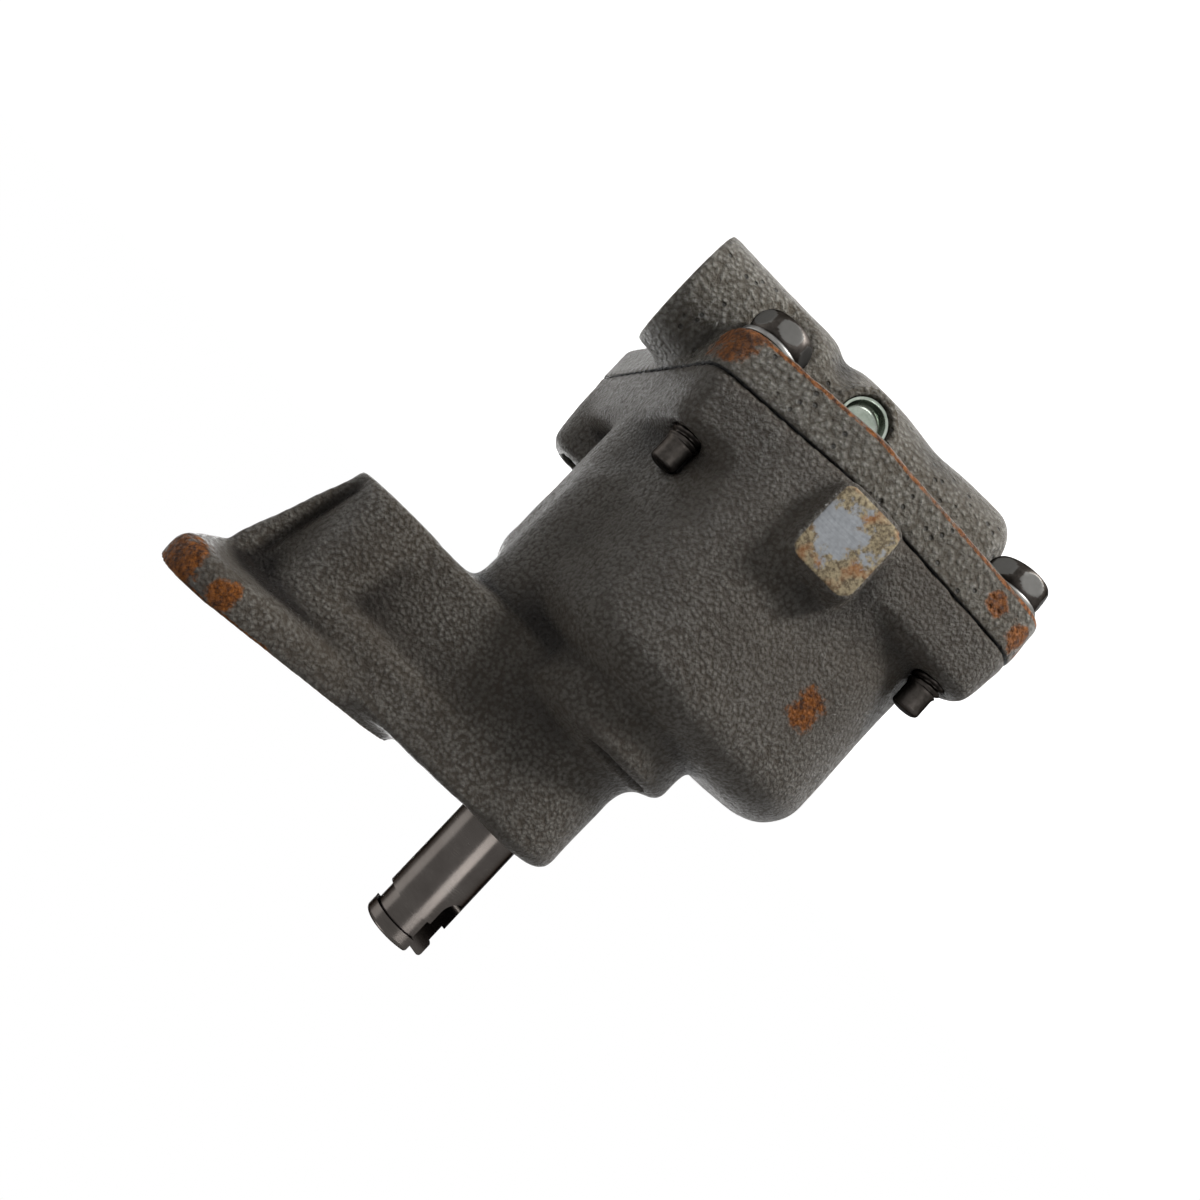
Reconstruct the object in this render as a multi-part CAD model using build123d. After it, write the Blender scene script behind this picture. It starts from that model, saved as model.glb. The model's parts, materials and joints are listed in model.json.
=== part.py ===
"""Gear-type engine oil pump: pocketed iron body, cover with relief valve, two meshing gears.

Frame: origin on the drive shaft axis in the plane of the mounting pad. +Z runs along the
shaft towards its slotted drive end, +X runs from the shaft to the mounting bolt, and -Y is
the side with the milled pad. All sizes are in millimetres.
"""
import math
import os

from build123d import *

# Layout
SEAM_Z = -83.6
PLATE_THICKNESS = 9.0
PLATE_ROUND = 1.4
CENTRE_DISTANCE = 28.0
BOSS_FACE_Z = -1.8
CHAMBER_HEIGHT = 50.6
CUT_REACH = 30.0

# Gears
TEETH = 7
ADDENDUM = 3.3
DEDENDUM = 3.55
PRESSURE_ANGLE = 28.0
BACKLASH = 0.16
GEAR_LENGTH = 34.0
GEAR_END_CLEARANCE = 0.05
GEAR_TIP_CLEARANCE = 0.1

# Shafts
SHAFT_RADIUS = 6.35
SHAFT_TIP_Z = 22.8
RUNNING_CLEARANCE = 0.04
IDLER_SOCKET_DEPTH = 11.0
BEAD_LENGTH = 2.6
GROOVE_LENGTH = 3.8
GROOVE_DEPTH = 0.65
TANG_SLOT_WIDTH = 5.0
TANG_SLOT_DEPTH = 11.6
TANG_SLOT_TURN = 39.6
LOCK_PIN_RADIUS = 1.5

# Ears round the cover bolts, as x, y and radius, and their heights above the seam
EAR_CIRCLES = (
    (23.4, -12.0, 7.2),
    (-36.8, -12.0, 8.0),
    (35.0, 38.5, 8.6),
    (-30.0, 40.0, 8.0),
)
NEAR_EAR_HEIGHT = 11.0
FAR_EAR_HEIGHT = 19.0
COLUMN_INSET = 8.0
BOLT_RADIUS = 3.175
BOLT_LENGTH = 28.0
BOLT_LEAD_LENGTH = 4.4
BOLT_LEAD_RADIUS = 2.65
BOLT_HEAD_FLATS = 11.11
BOLT_HEAD_HEIGHT = 4.4
BOLT_HOLE_CLEARANCE = 0.25
THREAD_CLEARANCE = 0.02
BOLT_END_GAP = 2.0
WASHER_RADIUS = 6.35
WASHER_THICKNESS = 1.5
SPOT_FACE_GAP = 0.8

# Chamber outline: circles as x, y and radius
CREST_CIRCLES = (
    (0.0, 0.0, 24.2),
    (0.0, CENTRE_DISTANCE, 24.0),
)
CHAMBER_CIRCLES = CREST_CIRCLES + (
    (-17.0, 4.0, 22.5),
    (14.0, 12.0, 19.8),
)
CHAMBER_TOP_ROUND = 9.0
EAR_ROUND = 2.6
EAR_DRAFT = 9.0
COLUMN_ROUND = 4.5
COLUMN_DRAFT = 5.0

# Collar and boss round the shaft
COLLAR_RADIUS = 18.2
COLLAR_TOP_Z = -24.5
BOSS_RADIUS = 12.2
BOSS_ROUND = 3.0
BOSS_STRAIGHT = 7.0
COLLAR_ROUND = 2.0
JOIN_DEPTH = 4.0
NECK_RADIUS = 11.6
NECK_Z = -18.0
SLIT_WIDTH = 1.3
SLIT_INNER_RADIUS = 12.8
SLIT_RISE = 0.8
SLIT_END_X = 2.0

# Mounting foot
PAD_START_X = 23.8
PAD_CIRCLES = ((61.0, -16.5, 8.0), (61.5, 4.0, 9.0), (36.0, 4.0, 13.7))
FLANGE_THICKNESS = 6.0
FLANGE_ROUND = 2.7
SEAT_ROUND = 1.2
MOUNT_BOLT_X = 49.5
MOUNT_HOLE_RADIUS = 5.75
COLUMN_RADIUS = 10.0
BOLT_SEAT_Z = -31.0
WEB_THICKNESS = 10.0
WEB_FOOT_X = 66.0
WEB_TOP_X = 58.8
ARM_STEP_Z = -14.0
ARM_CIRCLES = ((2.0, 3.0, 16.0), (20.5, 5.0, 12.0))
ARM_OVERLAP = 27.0
ARM_RISE = 6.0
ARM_ROUND = 4.0
ARM_INSET = 3.0
ARM_SIDE_STEP = 1.0
ARM_FACE_DROP = 0.4
ARM_SEAT_GAP = 0.3
OUTLET_X = 31.0
OUTLET_RADIUS = 5.5
OUTLET_DEPTH = 14.0
PORT_NEAR_X = 9.0
PORT_FAR_X = 16.0
PORT_SIZE = 6.2
PORT_CEILING = 10.0
PASSAGE_RADIUS = 4.5

# Milled pad on the near wall
MILLED_Y = -27.5
MILLED_X = (-12.3, 1.6)
MILLED_LOW = 0.6
MILLED_HEIGHT = 16.2
MILLED_ROUND = 2.8
MILLED_DEPTH = 8.0
MILLED_DRAFT = 8.0

# Cover passages
TUNNEL_Y = 4.0
TUNNEL_DROP = 4.7
TUNNEL_RADIUS = 12.7
TUNNEL_END_X = -34.5
TUNNEL_ROUND = 5.0
INLET_FACE_X = 42.5
INLET_RADIUS = 9.525
INLET_DEPTH = 24.0
PICKUP_TUBE_DEPTH = 12.0
INLET_PASSAGE_RADIUS = 7.5
GALLERY_Y = 24.0
GALLERY_RADIUS = 5.5
GALLERY_WALL = 3.4
RISER_X = -17.0
RISER_Y = 17.0

# Relief valve
RELIEF_X = 2.6
RELIEF_DROP = 5.7
RELIEF_NEAR_Y = -9.6
RELIEF_FAR_Y = 47.0
PISTON_RADIUS = 4.0
PISTON_LENGTH = 13.0
PISTON_FACE_Y = 3.0
PISTON_WALL = 1.2
PISTON_HEAD = 2.0
SHOULDER_RADIUS = 3.2
FEED_X = 11.0
FEED_Y = 8.5
FEED_RADIUS = 2.2
PORT_TRAVEL = 3.6
PORT_RADIUS = 1.6
CUP_RECESS = 0.8
RELIEF_WALL = 1.8
SPRING_WIRE_RADIUS = 0.55
SPRING_TURNS = 9
SPRING_SIDE_GAP = 0.25
CUP_RADIUS = 5.0
CUP_WALL = 0.7
CUP_DEPTH = 3.2
CUP_ROUND = 0.8
ROLL_PIN_RADIUS = 1.2
ROLL_PIN_INSET = 5.0
PIN_RECESS = 0.6
SEAT_THICKNESS = 2.0
SEAT_SIDE_GAP = 0.2

PLATE_FACE_Z = SEAM_Z - PLATE_THICKNESS
CHAMBER_TOP_Z = SEAM_Z + CHAMBER_HEIGHT
TUNNEL_Z = PLATE_FACE_Z - TUNNEL_DROP
RELIEF_Z = PLATE_FACE_Z - RELIEF_DROP
RELIEF_BOSS_RADIUS = CUP_RADIUS + RELIEF_WALL
PITCH_RADIUS = CENTRE_DISTANCE / 2
TIP_RADIUS = PITCH_RADIUS + ADDENDUM
ROOT_RADIUS = PITCH_RADIUS - DEDENDUM
POCKET_RADIUS = TIP_RADIUS + GEAR_TIP_CLEARANCE
POCKET_TOP_Z = SEAM_Z + GEAR_LENGTH + 2 * GEAR_END_CLEARANCE
GEAR_BASE_Z = SEAM_Z + GEAR_END_CLEARANCE


def cylinder(radius, start, end):
    """Solid cylinder between two points."""
    axis = Vector(*end) - Vector(*start)
    plane = Plane(origin=start, z_dir=axis)
    return extrude(plane * Circle(radius), amount=axis.length)


def hull_face(circles, z):
    """Flat face at a height inside the tangent-line hull of circles."""
    edges = []
    for x, y, radius in circles:
        edges += (Pos(x, y) * Circle(radius)).edges()
    return Pos(0, 0, z) * make_hull(edges)


def hull_prism(circles, z_low, z_high):
    """Prism over the tangent-line hull of circles given as x, y and radius."""
    return extrude(hull_face(circles, z_low), amount=z_high - z_low)


def top_edges(solid):
    """Edges in the highest level of a solid."""
    return solid.edges().group_by(Axis.Z)[-1]


def bottom_edges(solid):
    """Edges in the lowest level of a solid."""
    return solid.edges().group_by(Axis.Z)[0]


def chamber():
    """Wall round both gear pockets, with its large rounded shoulder."""
    wall = hull_prism(CHAMBER_CIRCLES, SEAM_Z, CHAMBER_TOP_Z)
    return fillet(top_edges(wall), CHAMBER_TOP_ROUND)


def drafted_prism(circles, z_low, height, draft):
    """Prism over a hull outline that narrows upwards by a draft angle in degrees."""
    shrink = height * math.tan(math.radians(draft))
    upper = [(x, y, radius - shrink) for x, y, radius in circles]
    return loft([hull_face(circles, z_low), hull_face(upper, z_low + height)], ruled=True)


def seam_flange():
    """Drafted band at the seam that carries the ears, with taller columns on the far side."""
    band = drafted_prism(EAR_CIRCLES + CREST_CIRCLES, SEAM_Z, NEAR_EAR_HEIGHT, EAR_DRAFT)
    flange = fillet(top_edges(band), EAR_ROUND)
    for x, y, radius in EAR_CIRCLES[2:]:
        inner = (x * 0.5, y - COLUMN_INSET, radius)
        column = drafted_prism([(x, y, radius), inner], SEAM_Z, FAR_EAR_HEIGHT, COLUMN_DRAFT)
        flange += fillet(top_edges(column), COLUMN_ROUND)
    return flange


def shaft_boss():
    """Boss, concave neck and collar turned about the shaft axis."""
    low_z = CHAMBER_TOP_Z - JOIN_DEPTH
    top_in = (BOSS_RADIUS - BOSS_ROUND, BOSS_FACE_Z)
    top_out = (BOSS_RADIUS, BOSS_FACE_Z - BOSS_ROUND)
    straight = (BOSS_RADIUS, BOSS_FACE_Z - BOSS_ROUND - BOSS_STRAIGHT)
    collar_in = (COLLAR_RADIUS - COLLAR_ROUND, COLLAR_TOP_Z)
    collar_out = (COLLAR_RADIUS, COLLAR_TOP_Z - COLLAR_ROUND)
    with BuildSketch(Plane.XZ) as profile:
        with BuildLine():
            Line((0, low_z), (0, BOSS_FACE_Z))
            Line((0, BOSS_FACE_Z), top_in)
            RadiusArc(top_in, top_out, BOSS_ROUND)
            Line(top_out, straight)
            Spline(straight, (NECK_RADIUS, NECK_Z), collar_in, tangents=((0, -1), (1, -0.35)))
            RadiusArc(collar_in, collar_out, COLLAR_ROUND)
            Line(collar_out, (COLLAR_RADIUS, low_z))
            Line((COLLAR_RADIUS, low_z), (0, low_z))
        make_face()
    return revolve(profile.sketch, Axis.Z)


def foot():
    """Mounting foot: flange, bolt column and triangular web."""
    flange = hull_prism(PAD_CIRCLES, -FLANGE_THICKNESS, 0.0)
    flange = fillet(bottom_edges(flange), FLANGE_ROUND)
    flange -= Pos(PAD_START_X - CUT_REACH, 0, 0) * Box(2 * CUT_REACH, 2 * CUT_REACH, 2 * CUT_REACH)
    column = Pos(MOUNT_BOLT_X, 0, BOLT_SEAT_Z / 2) * Cylinder(COLUMN_RADIUS, -BOLT_SEAT_Z)
    column = fillet(bottom_edges(column), SEAT_ROUND)
    web_top_z = BOLT_SEAT_Z + SEAT_ROUND
    web_corners = [
        (MOUNT_BOLT_X, -FLANGE_THICKNESS / 2),
        (WEB_FOOT_X, -FLANGE_THICKNESS / 2),
        (WEB_FOOT_X, -FLANGE_THICKNESS - FLANGE_ROUND),
        (WEB_TOP_X, web_top_z),
        (MOUNT_BOLT_X, web_top_z),
    ]
    side = Plane.XZ * make_face(Polyline(*web_corners, close=True))
    web = extrude(side, amount=WEB_THICKNESS / 2, both=True)
    return flange + column + web


def arm():
    """Thick arm that holds the outlet passage between the foot, the boss and the chamber."""
    bolt_end_x = MOUNT_BOLT_X - ARM_INSET
    upper_circles = [(0, 0, BOSS_RADIUS - ARM_SIDE_STEP), (bolt_end_x, 0, COLUMN_RADIUS + ARM_SIDE_STEP)]
    upper = hull_prism(upper_circles, ARM_STEP_Z, BOSS_FACE_Z - ARM_FACE_DROP)
    upper = fillet(bottom_edges(upper), ARM_ROUND)
    upper = fillet(top_edges(upper), ARM_ROUND / 3)
    middle_circles = [(0, 0, COLLAR_RADIUS - 2 * ARM_INSET), (bolt_end_x, 0, COLUMN_RADIUS - ARM_INSET)]
    middle = hull_prism(middle_circles, BOLT_SEAT_Z + ARM_SEAT_GAP, ARM_STEP_Z + ARM_ROUND)
    middle = fillet(bottom_edges(middle), ARM_ROUND / 2)
    lower = hull_prism(ARM_CIRCLES, CHAMBER_TOP_Z - ARM_OVERLAP, CHAMBER_TOP_Z + ARM_RISE)
    lower = fillet(top_edges(lower), ARM_RISE)
    return upper + middle + lower


def milled_boss():
    """Pad milled flat on the near wall."""
    width = MILLED_X[1] - MILLED_X[0]
    middle_z = SEAM_Z + MILLED_LOW + MILLED_HEIGHT / 2
    centre = (sum(MILLED_X) / 2, MILLED_Y, middle_z)
    face = Plane(origin=centre, x_dir=(1, 0, 0), z_dir=(0, -1, 0))
    outline = face * RectangleRounded(width, MILLED_HEIGHT, MILLED_ROUND)
    boss = extrude(outline, amount=-MILLED_DEPTH, taper=-MILLED_DRAFT)
    return split(boss, bisect_by=Plane.XY.offset(SEAM_Z), keep=Keep.TOP)


def pockets():
    """Gear pockets, bearings, ports and passages cut into the body."""
    cut = Part()
    for y in (0.0, CENTRE_DISTANCE):
        cut += cylinder(POCKET_RADIUS, (0, y, SEAM_Z - 1), (0, y, POCKET_TOP_Z))
    cut += cylinder(SHAFT_RADIUS + RUNNING_CLEARANCE, (0, 0, SEAM_Z), (0, 0, BOSS_RADIUS))
    idler_top = (0, CENTRE_DISTANCE, POCKET_TOP_Z + IDLER_SOCKET_DEPTH)
    cut += cylinder(SHAFT_RADIUS, (0, CENTRE_DISTANCE, SEAM_Z), idler_top)
    mesh_y = CENTRE_DISTANCE / 2
    for side in (-1, 1):
        circles = [(side * PORT_NEAR_X, mesh_y, PORT_SIZE), (side * PORT_FAR_X, mesh_y, PORT_SIZE)]
        cut += hull_prism(circles, SEAM_Z - 1, POCKET_TOP_Z - PORT_CEILING)
    turn = (PORT_FAR_X, mesh_y, POCKET_TOP_Z - PORT_CEILING - PASSAGE_RADIUS)
    outlet = (OUTLET_X, 0, -OUTLET_DEPTH)
    cut += cylinder(OUTLET_RADIUS, outlet, (OUTLET_X, 0, 1))
    cut += cylinder(PASSAGE_RADIUS, turn, outlet)
    return cut


def bolt_holes(radius, z_low, heights):
    """Holes for the four cover bolts, each up to its own height."""
    cut = Part()
    for (x, y, _), z_high in zip(EAR_CIRCLES, heights):
        cut += cylinder(radius, (x, y, z_low), (x, y, z_high))
    return cut


def slit():
    """Narrow crevice between the neck's foot and the top of the collar on the near side."""
    ring = Cylinder(COLLAR_RADIUS, SLIT_WIDTH) - Cylinder(SLIT_INNER_RADIUS, SLIT_WIDTH)
    corner = Pos(SLIT_END_X - CUT_REACH, -CUT_REACH, 0) * Box(2 * CUT_REACH, 2 * CUT_REACH, SLIT_WIDTH)
    return Pos(0, 0, COLLAR_TOP_Z + SLIT_RISE) * (ring & corner)


def pump_body():
    """Iron body with the gear pockets and the mounting foot."""
    solid = chamber() + seam_flange() + shaft_boss() + arm() + foot() + milled_boss()
    tip_z = PLATE_FACE_Z - WASHER_THICKNESS + BOLT_LENGTH
    far_z = tip_z + BOLT_END_GAP
    solid -= pockets()
    solid -= bolt_holes(BOLT_RADIUS + THREAD_CLEARANCE, SEAM_Z - 1, (tip_z, tip_z, far_z, far_z))
    solid -= cylinder(MOUNT_HOLE_RADIUS, (MOUNT_BOLT_X, 0, BOLT_SEAT_Z - 1), (MOUNT_BOLT_X, 0, 1))
    solid -= slit()
    return solid


def yz_hull_prism(circles, x_low, x_high):
    """Prism along X over the hull of circles given as y, z and radius."""
    edges = []
    for y, z, radius in circles:
        edges += (Pos(y, z) * Circle(radius)).edges()
    plane = Plane(origin=(x_low, 0, 0), x_dir=(0, 1, 0), z_dir=(1, 0, 0))
    return extrude(plane * make_hull(edges), amount=x_high - x_low)


def cover_plate():
    """Flat plate with the same tangent-line outline as the seam of the body."""
    plate = hull_prism(EAR_CIRCLES + CREST_CIRCLES, PLATE_FACE_Z, SEAM_Z)
    return fillet(bottom_edges(plate), PLATE_ROUND)


def inlet_tunnel():
    """Round tunnel from the inlet face across the plate, with its end rounded."""
    start = (TUNNEL_END_X, TUNNEL_Y, TUNNEL_Z)
    tube = cylinder(TUNNEL_RADIUS, start, (INLET_FACE_X, TUNNEL_Y, TUNNEL_Z))
    closed_end = tube.edges().sort_by(Axis.X)[0]
    return fillet(closed_end, TUNNEL_ROUND)


def gallery_hump():
    """Hump over the cored gallery that leads from the inlet to the suction port."""
    outer = GALLERY_RADIUS + GALLERY_WALL
    circles = [(TUNNEL_Y, TUNNEL_Z, TUNNEL_RADIUS - 1.0), (GALLERY_Y, TUNNEL_Z, outer)]
    hump = yz_hull_prism(circles, RISER_X - outer, gallery_turn_x() + outer)
    ends = hump.edges().group_by(Axis.X)[0] + hump.edges().group_by(Axis.X)[-1]
    return fillet(ends, GALLERY_WALL)


def gallery_turn_x():
    """Where the gallery leaves the bottom of the inlet bore."""
    return INLET_FACE_X - INLET_DEPTH + GALLERY_RADIUS - 1.0


def cover_passages():
    """Inlet bore with its stop for the pickup tube, suction gallery and riser."""
    tube_stop = (INLET_FACE_X - PICKUP_TUBE_DEPTH, TUNNEL_Y, TUNNEL_Z)
    inlet_end = (INLET_FACE_X - INLET_DEPTH, TUNNEL_Y, TUNNEL_Z)
    cut = cylinder(INLET_RADIUS, tube_stop, (INLET_FACE_X + 1, TUNNEL_Y, TUNNEL_Z))
    cut += cylinder(INLET_PASSAGE_RADIUS, inlet_end, tube_stop)
    turn = (gallery_turn_x(), GALLERY_Y, TUNNEL_Z)
    foot_of_riser = (RISER_X, GALLERY_Y, TUNNEL_Z)
    cut += cylinder(GALLERY_RADIUS, (gallery_turn_x(), TUNNEL_Y, TUNNEL_Z), turn)
    cut += cylinder(GALLERY_RADIUS, turn, foot_of_riser)
    cut += Pos(*turn) * Sphere(GALLERY_RADIUS)
    cut += Pos(*foot_of_riser) * Sphere(GALLERY_RADIUS)
    riser_radius = GALLERY_RADIUS - 1.0
    riser = [(RISER_X, RISER_Y, riser_radius), (RISER_X, GALLERY_Y, riser_radius)]
    cut += hull_prism(riser, TUNNEL_Z, SEAM_Z + 1)
    return cut


def relief_point(y):
    """Point on the relief valve's axis."""
    return (RELIEF_X, y, RELIEF_Z)


def relief_passages():
    """Relief bore with its plug seat, shoulder, pressure feed, return port and pin hole."""
    bore = PISTON_RADIUS + RUNNING_CLEARANCE
    seat_end = RELIEF_NEAR_Y + CUP_RECESS + CUP_DEPTH
    cut = cylinder(bore, relief_point(PISTON_FACE_Y), relief_point(RELIEF_FAR_Y + 1))
    cut += cylinder(SHOULDER_RADIUS, relief_point(seat_end), relief_point(PISTON_FACE_Y))
    cut += cylinder(CUP_RADIUS, relief_point(RELIEF_NEAR_Y - 1), relief_point(seat_end))
    feed_start = (FEED_X, FEED_Y, SEAM_Z + 1)
    cut += cylinder(FEED_RADIUS, feed_start, relief_point(PISTON_FACE_Y - SHOULDER_RADIUS))
    port_y = PISTON_FACE_Y + PORT_TRAVEL
    inlet_end = (INLET_FACE_X - INLET_DEPTH + 1, port_y, RELIEF_Z)
    cut += cylinder(PORT_RADIUS, relief_point(port_y), inlet_end)
    cut += relief_pin_bar(CUT_REACH)
    return cut


def relief_pin_bar(length):
    """Bar along X where the roll pin crosses the relief bore."""
    y = RELIEF_FAR_Y - ROLL_PIN_INSET
    start = (RELIEF_X - length / 2, y, RELIEF_Z)
    return cylinder(ROLL_PIN_RADIUS, start, (RELIEF_X + length / 2, y, RELIEF_Z))


def spot_faces():
    """Clear room for bolt heads and washers outside the plate."""
    cut = Part()
    for x, y, _ in EAR_CIRCLES:
        low = (x, y, PLATE_FACE_Z - CUT_REACH)
        cut += cylinder(WASHER_RADIUS + SPOT_FACE_GAP, low, (x, y, PLATE_FACE_Z))
    return cut


def pump_cover():
    """Cover with the inlet tunnel, suction gallery and relief valve boss."""
    hump = inlet_tunnel() + gallery_hump()
    hump += cylinder(RELIEF_BOSS_RADIUS, relief_point(RELIEF_NEAR_Y), relief_point(RELIEF_FAR_Y))
    solid = cover_plate() + (hump - spot_faces())
    solid -= cover_passages() + relief_passages()
    heights = (SEAM_Z + 1,) * len(EAR_CIRCLES)
    solid -= bolt_holes(BOLT_RADIUS + BOLT_HOLE_CLEARANCE, PLATE_FACE_Z - 1, heights)
    return solid


def involute(angle):
    """Involute function of a pressure angle in radians."""
    return math.tan(angle) - angle


def polar(radius, angle):
    """Point at a radius and an angle in radians."""
    return (radius * math.cos(angle), radius * math.sin(angle))


def tooth_half_angle(radius):
    """Half of the tooth's angle at a radius on or above the base circle."""
    base = PITCH_RADIUS * math.cos(math.radians(PRESSURE_ANGLE))
    thickness = math.pi * PITCH_RADIUS / TEETH - BACKLASH
    at_pitch = thickness / (2 * PITCH_RADIUS)
    return at_pitch + involute(math.radians(PRESSURE_ANGLE)) - involute(math.acos(base / radius))


def gear_outline():
    """Closed wire of all teeth, with one tooth centred on +Y."""
    base = PITCH_RADIUS * math.cos(math.radians(PRESSURE_ANGLE))
    steps = 5
    radii = [base + (TIP_RADIUS - base) * i / steps for i in range(steps + 1)]
    pitch_angle = 2 * math.pi / TEETH
    edges = []
    for tooth in range(TEETH):
        centre = math.pi / 2 + tooth * pitch_angle
        rise = [polar(r, centre - tooth_half_angle(r)) for r in radii]
        fall = [polar(r, centre + tooth_half_angle(r)) for r in reversed(radii)]
        foot_in = polar(ROOT_RADIUS, centre - tooth_half_angle(base))
        foot_out = polar(ROOT_RADIUS, centre + tooth_half_angle(base))
        root_mid = polar(ROOT_RADIUS, centre + pitch_angle / 2)
        next_foot = polar(ROOT_RADIUS, centre + pitch_angle - tooth_half_angle(base))
        edges += [Line(foot_in, rise[0]), Spline(*rise)]
        edges += [ThreePointArc(rise[-1], polar(TIP_RADIUS, centre), fall[0]), Spline(*fall)]
        edges += [Line(fall[-1], foot_out), ThreePointArc(foot_out, root_mid, next_foot)]
    return Wire(edges)


def gear(y, bore_radius):
    """Spur gear of the meshing pair about an axis parallel to Z."""
    blank = extrude(Pos(0, y, GEAR_BASE_Z) * make_face(gear_outline()), amount=GEAR_LENGTH)
    return blank - cylinder(bore_radius, (0, y, SEAM_Z - 1), (0, y, POCKET_TOP_Z + 1))


def lock_pin():
    """Pin that crosses the drive gear and its shaft from one tooth gap."""
    angle = math.pi / 2 - math.pi / TEETH
    mid_z = GEAR_BASE_Z + GEAR_LENGTH / 2
    outer = polar(ROOT_RADIUS - 0.4, angle)
    inner = polar(-(ROOT_RADIUS - 1.0), angle)
    return cylinder(LOCK_PIN_RADIUS, (*outer, mid_z), (*inner, mid_z))


def lock_pin_hole():
    """Drilling for the lock pin, open into the tooth gap."""
    angle = math.pi / 2 - math.pi / TEETH
    mid_z = GEAR_BASE_Z + GEAR_LENGTH / 2
    outer = polar(ROOT_RADIUS + 2.0, angle)
    inner = polar(-(ROOT_RADIUS - 1.0), angle)
    return cylinder(LOCK_PIN_RADIUS, (*outer, mid_z), (*inner, mid_z))


def drive_shaft():
    """Drive shaft with its retention groove and tang slot at the free end."""
    shaft = cylinder(SHAFT_RADIUS, (0, 0, GEAR_BASE_Z), (0, 0, SHAFT_TIP_Z))
    shaft = chamfer(shaft.edges().sort_by(Axis.Z)[0], 0.6)
    shaft = fillet(shaft.edges().sort_by(Axis.Z)[-1], 0.8)
    groove_z = SHAFT_TIP_Z - BEAD_LENGTH - GROOVE_LENGTH / 2
    ring = Cylinder(SHAFT_RADIUS + 1, GROOVE_LENGTH) - Cylinder(SHAFT_RADIUS - GROOVE_DEPTH, GROOVE_LENGTH)
    shaft -= Pos(0, 0, groove_z) * ring
    floor_z = SHAFT_TIP_Z - TANG_SLOT_DEPTH + TANG_SLOT_WIDTH / 2
    slot = Pos(0, 0, floor_z + CUT_REACH / 2) * Box(CUT_REACH, TANG_SLOT_WIDTH, CUT_REACH)
    slot += Pos(0, 0, floor_z) * Rot(0, 90, 0) * Cylinder(TANG_SLOT_WIDTH / 2, CUT_REACH)
    return shaft - Rot(0, 0, TANG_SLOT_TURN) * slot - lock_pin_hole()


def idler_shaft():
    """Fixed shaft pressed into the body that the idler gear turns on."""
    top = POCKET_TOP_Z + IDLER_SOCKET_DEPTH
    shaft = cylinder(SHAFT_RADIUS, (0, CENTRE_DISTANCE, SEAM_Z + 0.3), (0, CENTRE_DISTANCE, top))
    return chamfer(shaft.edges().sort_by(Axis.Z)[0], 0.5)


def cover_bolt(x, y):
    """Hex bolt from its head under the cover to its plain lead at the tip."""
    seat_z = PLATE_FACE_Z - WASHER_THICKNESS
    tip_z = seat_z + BOLT_LENGTH
    shank = cylinder(BOLT_RADIUS, (x, y, seat_z), (x, y, tip_z - BOLT_LEAD_LENGTH))
    shank += cylinder(BOLT_LEAD_RADIUS, (x, y, tip_z - BOLT_LEAD_LENGTH), (x, y, tip_z))
    shank = chamfer(shank.edges().sort_by(Axis.Z)[-1], 0.4)
    hexagon = RegularPolygon(BOLT_HEAD_FLATS / 2, 6, major_radius=False)
    head = extrude(Pos(x, y, seat_z - BOLT_HEAD_HEIGHT) * hexagon, amount=BOLT_HEAD_HEIGHT)
    corner = BOLT_HEAD_FLATS / math.sqrt(3)
    cone = Pos(x, y, seat_z - BOLT_HEAD_HEIGHT / 2) * Cylinder(corner, BOLT_HEAD_HEIGHT)
    return shank + (head & chamfer(bottom_edges(cone), 0.6, 1.0))


def cover_washer(x, y):
    """Washer held under a bolt head."""
    low_z = PLATE_FACE_Z - WASHER_THICKNESS
    ring = cylinder(WASHER_RADIUS, (x, y, low_z), (x, y, PLATE_FACE_Z))
    ring = chamfer(bottom_edges(ring), WASHER_THICKNESS / 3)
    return ring - cylinder(BOLT_RADIUS + THREAD_CLEARANCE, (x, y, low_z - 1), (x, y, PLATE_FACE_Z + 1))


def relief_piston():
    """Hollow piston with its closed end towards the pressure chamber."""
    back = PISTON_FACE_Y + PISTON_LENGTH
    solid = cylinder(PISTON_RADIUS, relief_point(PISTON_FACE_Y), relief_point(back))
    solid = chamfer(solid.edges().sort_by(Axis.Y)[0], PISTON_WALL / 2)
    inner = PISTON_RADIUS - PISTON_WALL
    return solid - cylinder(inner, relief_point(PISTON_FACE_Y + PISTON_HEAD), relief_point(back + 1))


def seat_outer_y():
    """Plane where the spring seat rests on the roll pin."""
    return RELIEF_FAR_Y - ROLL_PIN_INSET - ROLL_PIN_RADIUS


def relief_spring():
    """Coil spring between the piston and its seat."""
    start = PISTON_FACE_Y + PISTON_HEAD + SPRING_WIRE_RADIUS
    length = seat_outer_y() - SEAT_THICKNESS - SPRING_WIRE_RADIUS - start
    mean = PISTON_RADIUS - PISTON_WALL - SPRING_SIDE_GAP - SPRING_WIRE_RADIUS
    path = Helix(length / SPRING_TURNS, length, mean)
    section = Plane(origin=path @ 0, z_dir=path % 0) * Circle(SPRING_WIRE_RADIUS)
    coil = sweep(section, path=path)
    return Pos(*relief_point(start)) * Rot(-90, 0, 0) * coil


def relief_spring_seat():
    """Disc between the spring and the roll pin."""
    outer = seat_outer_y()
    radius = PISTON_RADIUS - SEAT_SIDE_GAP
    return cylinder(radius, relief_point(outer - SEAT_THICKNESS), relief_point(outer))


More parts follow.
